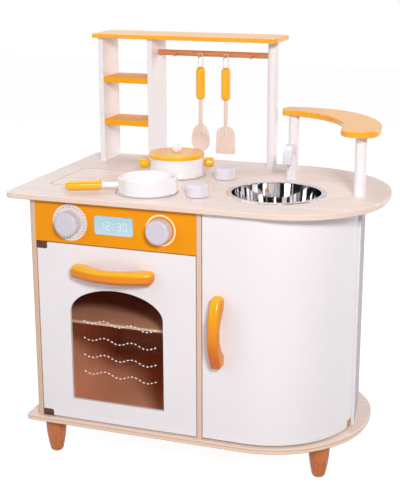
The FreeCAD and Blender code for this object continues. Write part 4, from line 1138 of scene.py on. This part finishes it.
@dataclass
class Hob(Assembly):
    """Printed hob with its knobs, pot, lid and pan."""

    # The rings sit just outside the pan and the pot, so their dark ink also paints the contact shadow at each base.
    ring_gap: float = 3.5
    pan_ring_shift: float = -2.5
    pot_ring_shift: float = 0.0
    line_width: float = 1.7
    line_inset: float = 43.0
    line_radius: float = 14.0
    line_rounding: int = 10
    dot_radius: float = 2.4
    dot_corners: int = 24
    film: float = 0.1
    dot_film: float = 0.14
    mark_length: float = 3.6
    mark_width: float = 1.6
    marks: tuple[tuple[str, float, float], ...] = (
        ("front_hob_knob", 1.3, -33.6), ("front_hob_knob", 31.5, -51.2),
        ("rear_hob_knob", -2.9, -35.4), ("rear_hob_knob", -18.1, -43.3))

    def dress(self) -> None:
        """Give the knobs and the cookware their finishes."""
        dress(GREY, "front_hob_knob", "rear_hob_knob")
        dress(BEECH, "front_hob_spindle", "rear_hob_spindle")
        dress(WHITE_TURNED, "pot_body", "lid_knob", "pan_body", "pan_stem")
        dress(GRIP_ORANGE, "pot_handles", "pot_lid", "pan_grip")

    def build(self) -> None:
        """Print the burner rings, the line that joins them and the marks by the knobs."""
        top = box_mm("worktop")[1].z
        burners = {}
        for node, name, shift in (("pan_body", "front_burner_ring", self.pan_ring_shift),
                                  ("pot_body", "rear_burner_ring", self.pot_ring_shift)):
            low, high = box_mm(node)
            middle = (low + high) / 2 + Vector((shift, 0.0, 0.0))
            radius = (high.y - low.y) / 2 + self.ring_gap
            ring = InkRing(radius, self.line_width, self.film).model(lying(middle.x, middle.y, top))
            settle(ring, name, RING_INK_AND_SHADOW, Body.CABINET)
            burners[name] = (middle, radius)
        self.build_line(burners, top)
        places = []
        for knob, across, back in self.marks:
            low, high = box_mm(knob)
            places.append(lying((low.x + high.x) / 2 + across, (low.y + high.y) / 2 + back, top))
        marks = InkBar(self.mark_length, self.mark_width, self.film).copied(places)
        settle(marks, "hob_knob_marks", DARK_INK, Body.CABINET)

    def build_line(self, burners: Mapping[str, tuple[Vector, float]], top: float) -> None:
        """Print the line from one burner round to the other, and its dot.

        Args:
            burners: Middle and radius of each burner ring.
            top: Height of the worktop.
        """
        (front, front_radius), (rear, rear_radius) = burners["front_burner_ring"], burners["rear_burner_ring"]
        right = min(front.x - front_radius, rear.x - rear_radius)
        left = box_mm("worktop")[0].x + self.line_inset
        deselect()
        width, depth = 2 * (right - left), rear.y - front.y
        bpy.ops.mesh.primitive_plane_add(size=1.0)
        line = bpy.context.object
        line.data.transform(Matrix.Diagonal((width * MM, (depth + self.line_width) * MM, 1.0, 1.0)))
        line.data.transform(lying(right, (front.y + rear.y) / 2, top))
        open_mesh(Element.CORNER)
        bpy.ops.mesh.bevel(offset=self.line_radius * MM, segments=self.line_rounding, affect="VERTICES")
        open_mesh(Element.FACE)
        bpy.ops.mesh.inset(thickness=self.line_width * MM)
        bpy.ops.mesh.delete(type="FACE")
        open_mesh(Element.FACE)
        bpy.ops.mesh.bisect(plane_co=(right * MM, 0.0, 0.0), plane_no=(1.0, 0.0, 0.0), clear_outer=True)
        close_mesh()
        thicken(line, self.film)
        settle(line, "hob_line", BROWN_INK, Body.CABINET)
        corner = self.line_radius * (1 - math.sqrt(0.5))
        self.build_dot(lying(left + corner, front.y + corner, top))

    def build_dot(self, place: Matrix) -> None:
        """Print the dot at the line's front corner, a little thicker than the line.

        Args:
            place: Where its middle goes.
        """
        deselect()
        bpy.ops.mesh.primitive_circle_add(vertices=self.dot_corners, radius=self.dot_radius * MM, fill_type="NGON")
        dot = bpy.context.object
        open_mesh(Element.FACE)
        bpy.ops.mesh.inset(thickness=self.dot_radius * MM / 3)
        close_mesh()
        thicken(dot, self.dot_film)
        dot.data.transform(place)
        settle(dot, "hob_dot", BROWN_INK, Body.CABINET)


@dataclass
class SinkUnit(Assembly):
    """Bright sink bowl and the grey tap behind it."""

    def dress(self) -> None:
        """Give the bowl and the tap their finishes."""
        dress(BOWL_STEEL, "sink_bowl")
        dress(LIT_TAP_GREY, "faucet")
        dress(BEECH, "faucet_pivot")


@dataclass
class Shelves(Assembly):
    """Corner shelf, rack, rail and pegs."""

    def dress(self) -> None:
        """Give the shelves and their posts their finishes."""
        dress(ORANGE, "corner_shelf", "rack_top_shelf")
        dress(SHELF_ORANGE, "rack_small_shelves")
        dress(WHITE_TURNED, "corner_posts", "rack_right_post")
        dress(WHITE, "rack_left_post", "rack_middle_post")
        dress(CHERRY_LEVEL, "utensil_rail", "rail_pegs")


@dataclass
class Utensil(Assembly):
    """One hanging utensil: wooden blade, orange grip and the string that holds it on its peg."""

    name: str
    body: Body
    diameter: float = 1.6
    rest: float = 9.6
    string_length: float = 62.4

    def dress(self) -> None:
        """Give the blade and the grip their finishes."""
        dress(BEECH, self.name)
        dress(GRIP_ORANGE, self.name + "_handle")

    def build(self) -> None:
        """Lay the string from the grip, over the peg and back into the grip, on one smooth spline."""
        low, high = box_mm(self.name + "_loop")
        radius = self.diameter / 2
        y = (low.y + high.y) / 2
        left, right, top = low.x + radius, high.x - radius, high.z - radius
        route = [(left, low.z), (left, top - self.rest), (left, top), (right, top), (right, top - self.rest),
                 (right, low.z)]
        data = bpy.data.curves.new(self.name + "_string", "CURVE")
        data.dimensions = "3D"
        data.bevel_depth = radius * MM
        data.bevel_resolution = 4
        data.resolution_u = 10
        data.use_fill_caps = True
        spline = data.splines.new("NURBS")
        spline.points.add(len(route) - 1)
        for point, (x, z) in zip(spline.points, route):
            point.co = (x * MM, y * MM, z * MM, 1.0)
        spline.use_endpoint_u = True
        spline.order_u = 3
        data.materials.append(STRING.material())
        string = bpy.data.objects.new(self.name + "_string", data)
        bpy.context.scene.collection.objects.link(string)
        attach(string, self.body.value)
        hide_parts(self.name + "_loop")
        log.info("made %s on %s", string.name, self.body.value)


@dataclass
class Studio:
    """White studio: pale floor, soft lamps and the camera at the photograph's angle."""

    from_panel: tuple[float, float, float] = (930.14, -1699.84, 941.22)
    yaw: float = 19.843
    pitch: float = 15.895
    roll: float = -0.159
    focal_pixels: float = 1122.84
    picture_height: int = 498
    sensor: float = 36.0
    floor_size: float = 12000.0
    lamps: tuple[tuple[str, tuple[float, float, float], float, float], ...] = (
        ("key", (1050.0, -1900.0, 1500.0), 400.0, 39.0),
        ("fill", (-1600.0, -1500.0, 1300.0), 1500.0, 12.5),
        ("top", (-500.0, 300.0, 2150.0), 1300.0, 12.0),
        ("side", (1550.0, 1600.0, 1250.0), 1200.0, 25.0))
    aim: tuple[float, float, float] = (0.0, 0.0, 350.0)
    ambient: float = 0.23
    ambient_tint: str = "#EFEDF8"
    lamp_tint: str = "#FFFCFB"
    walls: tuple[tuple[float, float, float], ...] = ((122.0, 32.0, 0.8), (149.0, 26.0, 2.6))
    wall_blur: float = 5.0
    room_glow: float = 0.02
    room_foot: tuple[float, float] = (0.06, 0.14)
    floor_bounce: str = "#C4C1BF"
    floor_shadow: str = "#8A8A8A"
    floor_glow: float = 0.93
    backdrop: str = "#FFFFFF"
    clip: tuple[float, float] = (0.05, 50.0)

    def build(self) -> None:
        """Set the floor, the world, the lamps and the camera."""
        self.build_floor()
        self.build_world()
        for name, place, size, power in self.lamps:
            self.build_lamp(name, place, size, power)
        self.build_camera()
        bpy.context.scene.view_settings.view_transform = "Standard"

    def seen(self, tree: Tree) -> Node:
        """Mask that is one for rays that show the backdrop: camera, glossy and transmission rays.

        Args:
            tree: Node tree of the floor or the world.

        Returns:
            Node with the mask.
        """
        path = add(tree, "LightPath")
        either = add(tree, "Math", {0: path.outputs["Is Camera Ray"], 1: path.outputs["Is Glossy Ray"]},
                     operation="MAXIMUM")
        return add(tree, "Math", {0: either, 1: path.outputs["Is Transmission Ray"]}, operation="MAXIMUM")

    def build_floor(self) -> None:
        """Lay a pale floor that reads as white and keeps the object's shadow."""
        deselect()
        bpy.ops.mesh.primitive_plane_add(size=self.floor_size * MM)
        floor = bpy.context.object
        floor.name = "studio_floor"
        paint = bpy.data.materials.new("pale studio floor")
        paint.use_nodes = True
        tree = paint.node_tree
        tree.nodes.clear()
        bounce = add(tree, "BsdfDiffuse", {"Color": self.floor_bounce})
        shadow = add(tree, "BsdfDiffuse", {"Color": self.floor_shadow})
        glow = add(tree, "Emission", {"Color": self.backdrop, "Strength": self.floor_glow})
        white = add(tree, "AddShader", {0: shadow, 1: glow})
        mixed = add(tree, "MixShader", {0: self.seen(tree), 1: bounce, 2: white})
        add(tree, "OutputMaterial", {"Surface": mixed})
        floor.data.materials.append(paint)

    def build_world(self) -> None:
        """Light evenly from all round, white to the eye, with two lit walls of a dark room in reflections."""
        world = bpy.data.worlds.new("white studio")
        world.use_nodes = True
        tree = world.node_tree
        tree.nodes.clear()
        where = add(tree, "TexCoord")
        way = add(tree, "SeparateXYZ", {"Vector": where.outputs["Generated"]})
        turn = add(tree, "Math", {0: way.outputs["Y"], 1: way.outputs["X"]}, operation="ARCTAN2")
        lit: Source = self.room_glow
        for middle, half, glow in self.walls:
            past = add(tree, "Math", {0: turn, 1: math.radians(middle)}, operation="SUBTRACT")
            wave = add(tree, "Math", {0: past}, operation="COSINE")
            ends = [math.cos(math.radians(half + blur)) for blur in (self.wall_blur, -self.wall_blur)]
            wall = add(tree, "MapRange", {"Value": wave, "From Min": ends[0], "From Max": ends[1], "To Max": glow})
            lit = add(tree, "Math", {0: lit, 1: wall}, operation="MAXIMUM")
        foot, head = self.room_foot
        high = add(tree, "MapRange", {"Value": way.outputs["Z"], "From Min": foot, "From Max": head})
        strength = add(tree, "Mix", {0: high, 2: 1.0, 3: lit}, data_type="FLOAT")
        even = add(tree, "Background", {"Color": self.ambient_tint, "Strength": self.ambient})
        backdrop = add(tree, "Background", {"Color": self.backdrop, "Strength": strength})
        mixed = add(tree, "MixShader", {0: self.seen(tree), 1: even, 2: backdrop})
        add(tree, "OutputWorld", {"Surface": mixed})
        bpy.context.scene.world = world

    def build_lamp(self, name: str, place: tuple[float, float, float], size: float, power: float) -> None:
        """Hang one square soft lamp and aim it at the object.

        Args:
            name: Name of the lamp.
            place: Where it hangs, in millimetres.
            size: Side of its face, in millimetres.
            power: Power in watts.
        """
        data = bpy.data.lights.new(name, "AREA")
        data.size = size * MM
        data.energy = power
        data.color = linear(self.lamp_tint)[:3]
        lamp = bpy.data.objects.new(name, data)
        lamp.location = Vector(place) * MM
        lamp.rotation_mode = "QUATERNION"
        lamp.rotation_quaternion = (Vector(self.aim) - Vector(place)).to_track_quat("-Z", "Y")
        bpy.context.scene.collection.objects.link(lamp)

    def build_camera(self) -> None:
        """Set the camera that the photograph's edges were fitted with."""
        yaw, pitch, roll = (math.radians(angle) for angle in (self.yaw, self.pitch, self.roll))
        forward = Vector((-math.sin(yaw) * math.cos(pitch), math.cos(yaw) * math.cos(pitch), -math.sin(pitch)))
        level = Vector((math.cos(yaw), math.sin(yaw), 0.0))
        upright = level.cross(forward)
        right = level * math.cos(roll) + upright * math.sin(roll)
        up = upright * math.cos(roll) - level * math.sin(roll)
        data = bpy.data.cameras.new("photo_camera")
        data.sensor_width = self.sensor
        data.lens = self.focal_pixels / self.picture_height * self.sensor
        data.clip_start, data.clip_end = self.clip
        camera = bpy.data.objects.new("photo_camera", data)
        turn = Matrix((right, up, -forward)).transposed()
        panel = box_mm("left_panel")[0]
        place = Vector((panel.x, panel.y, 0.0)) + Vector(self.from_panel)
        camera.matrix_world = Matrix.Translation(place * MM) @ turn.to_4x4()
        bpy.context.scene.collection.objects.link(camera)
        bpy.context.scene.camera = camera


def main() -> None:
    """Build and dress each sub-assembly in order."""
    logging.basicConfig(level=logging.INFO, format="%(message)s")
    Studio().build()
    for part in (Cabinet(), ControlPanel(), OvenDoor(), Cupboard(), Hob(), SinkUnit(), Shelves(),
                 Utensil("spoon", Body.SPOON), Utensil("spatula", Body.SPATULA)):
        part.dress()
        part.build()
    deselect()


if __name__ == "__main__":
    main()
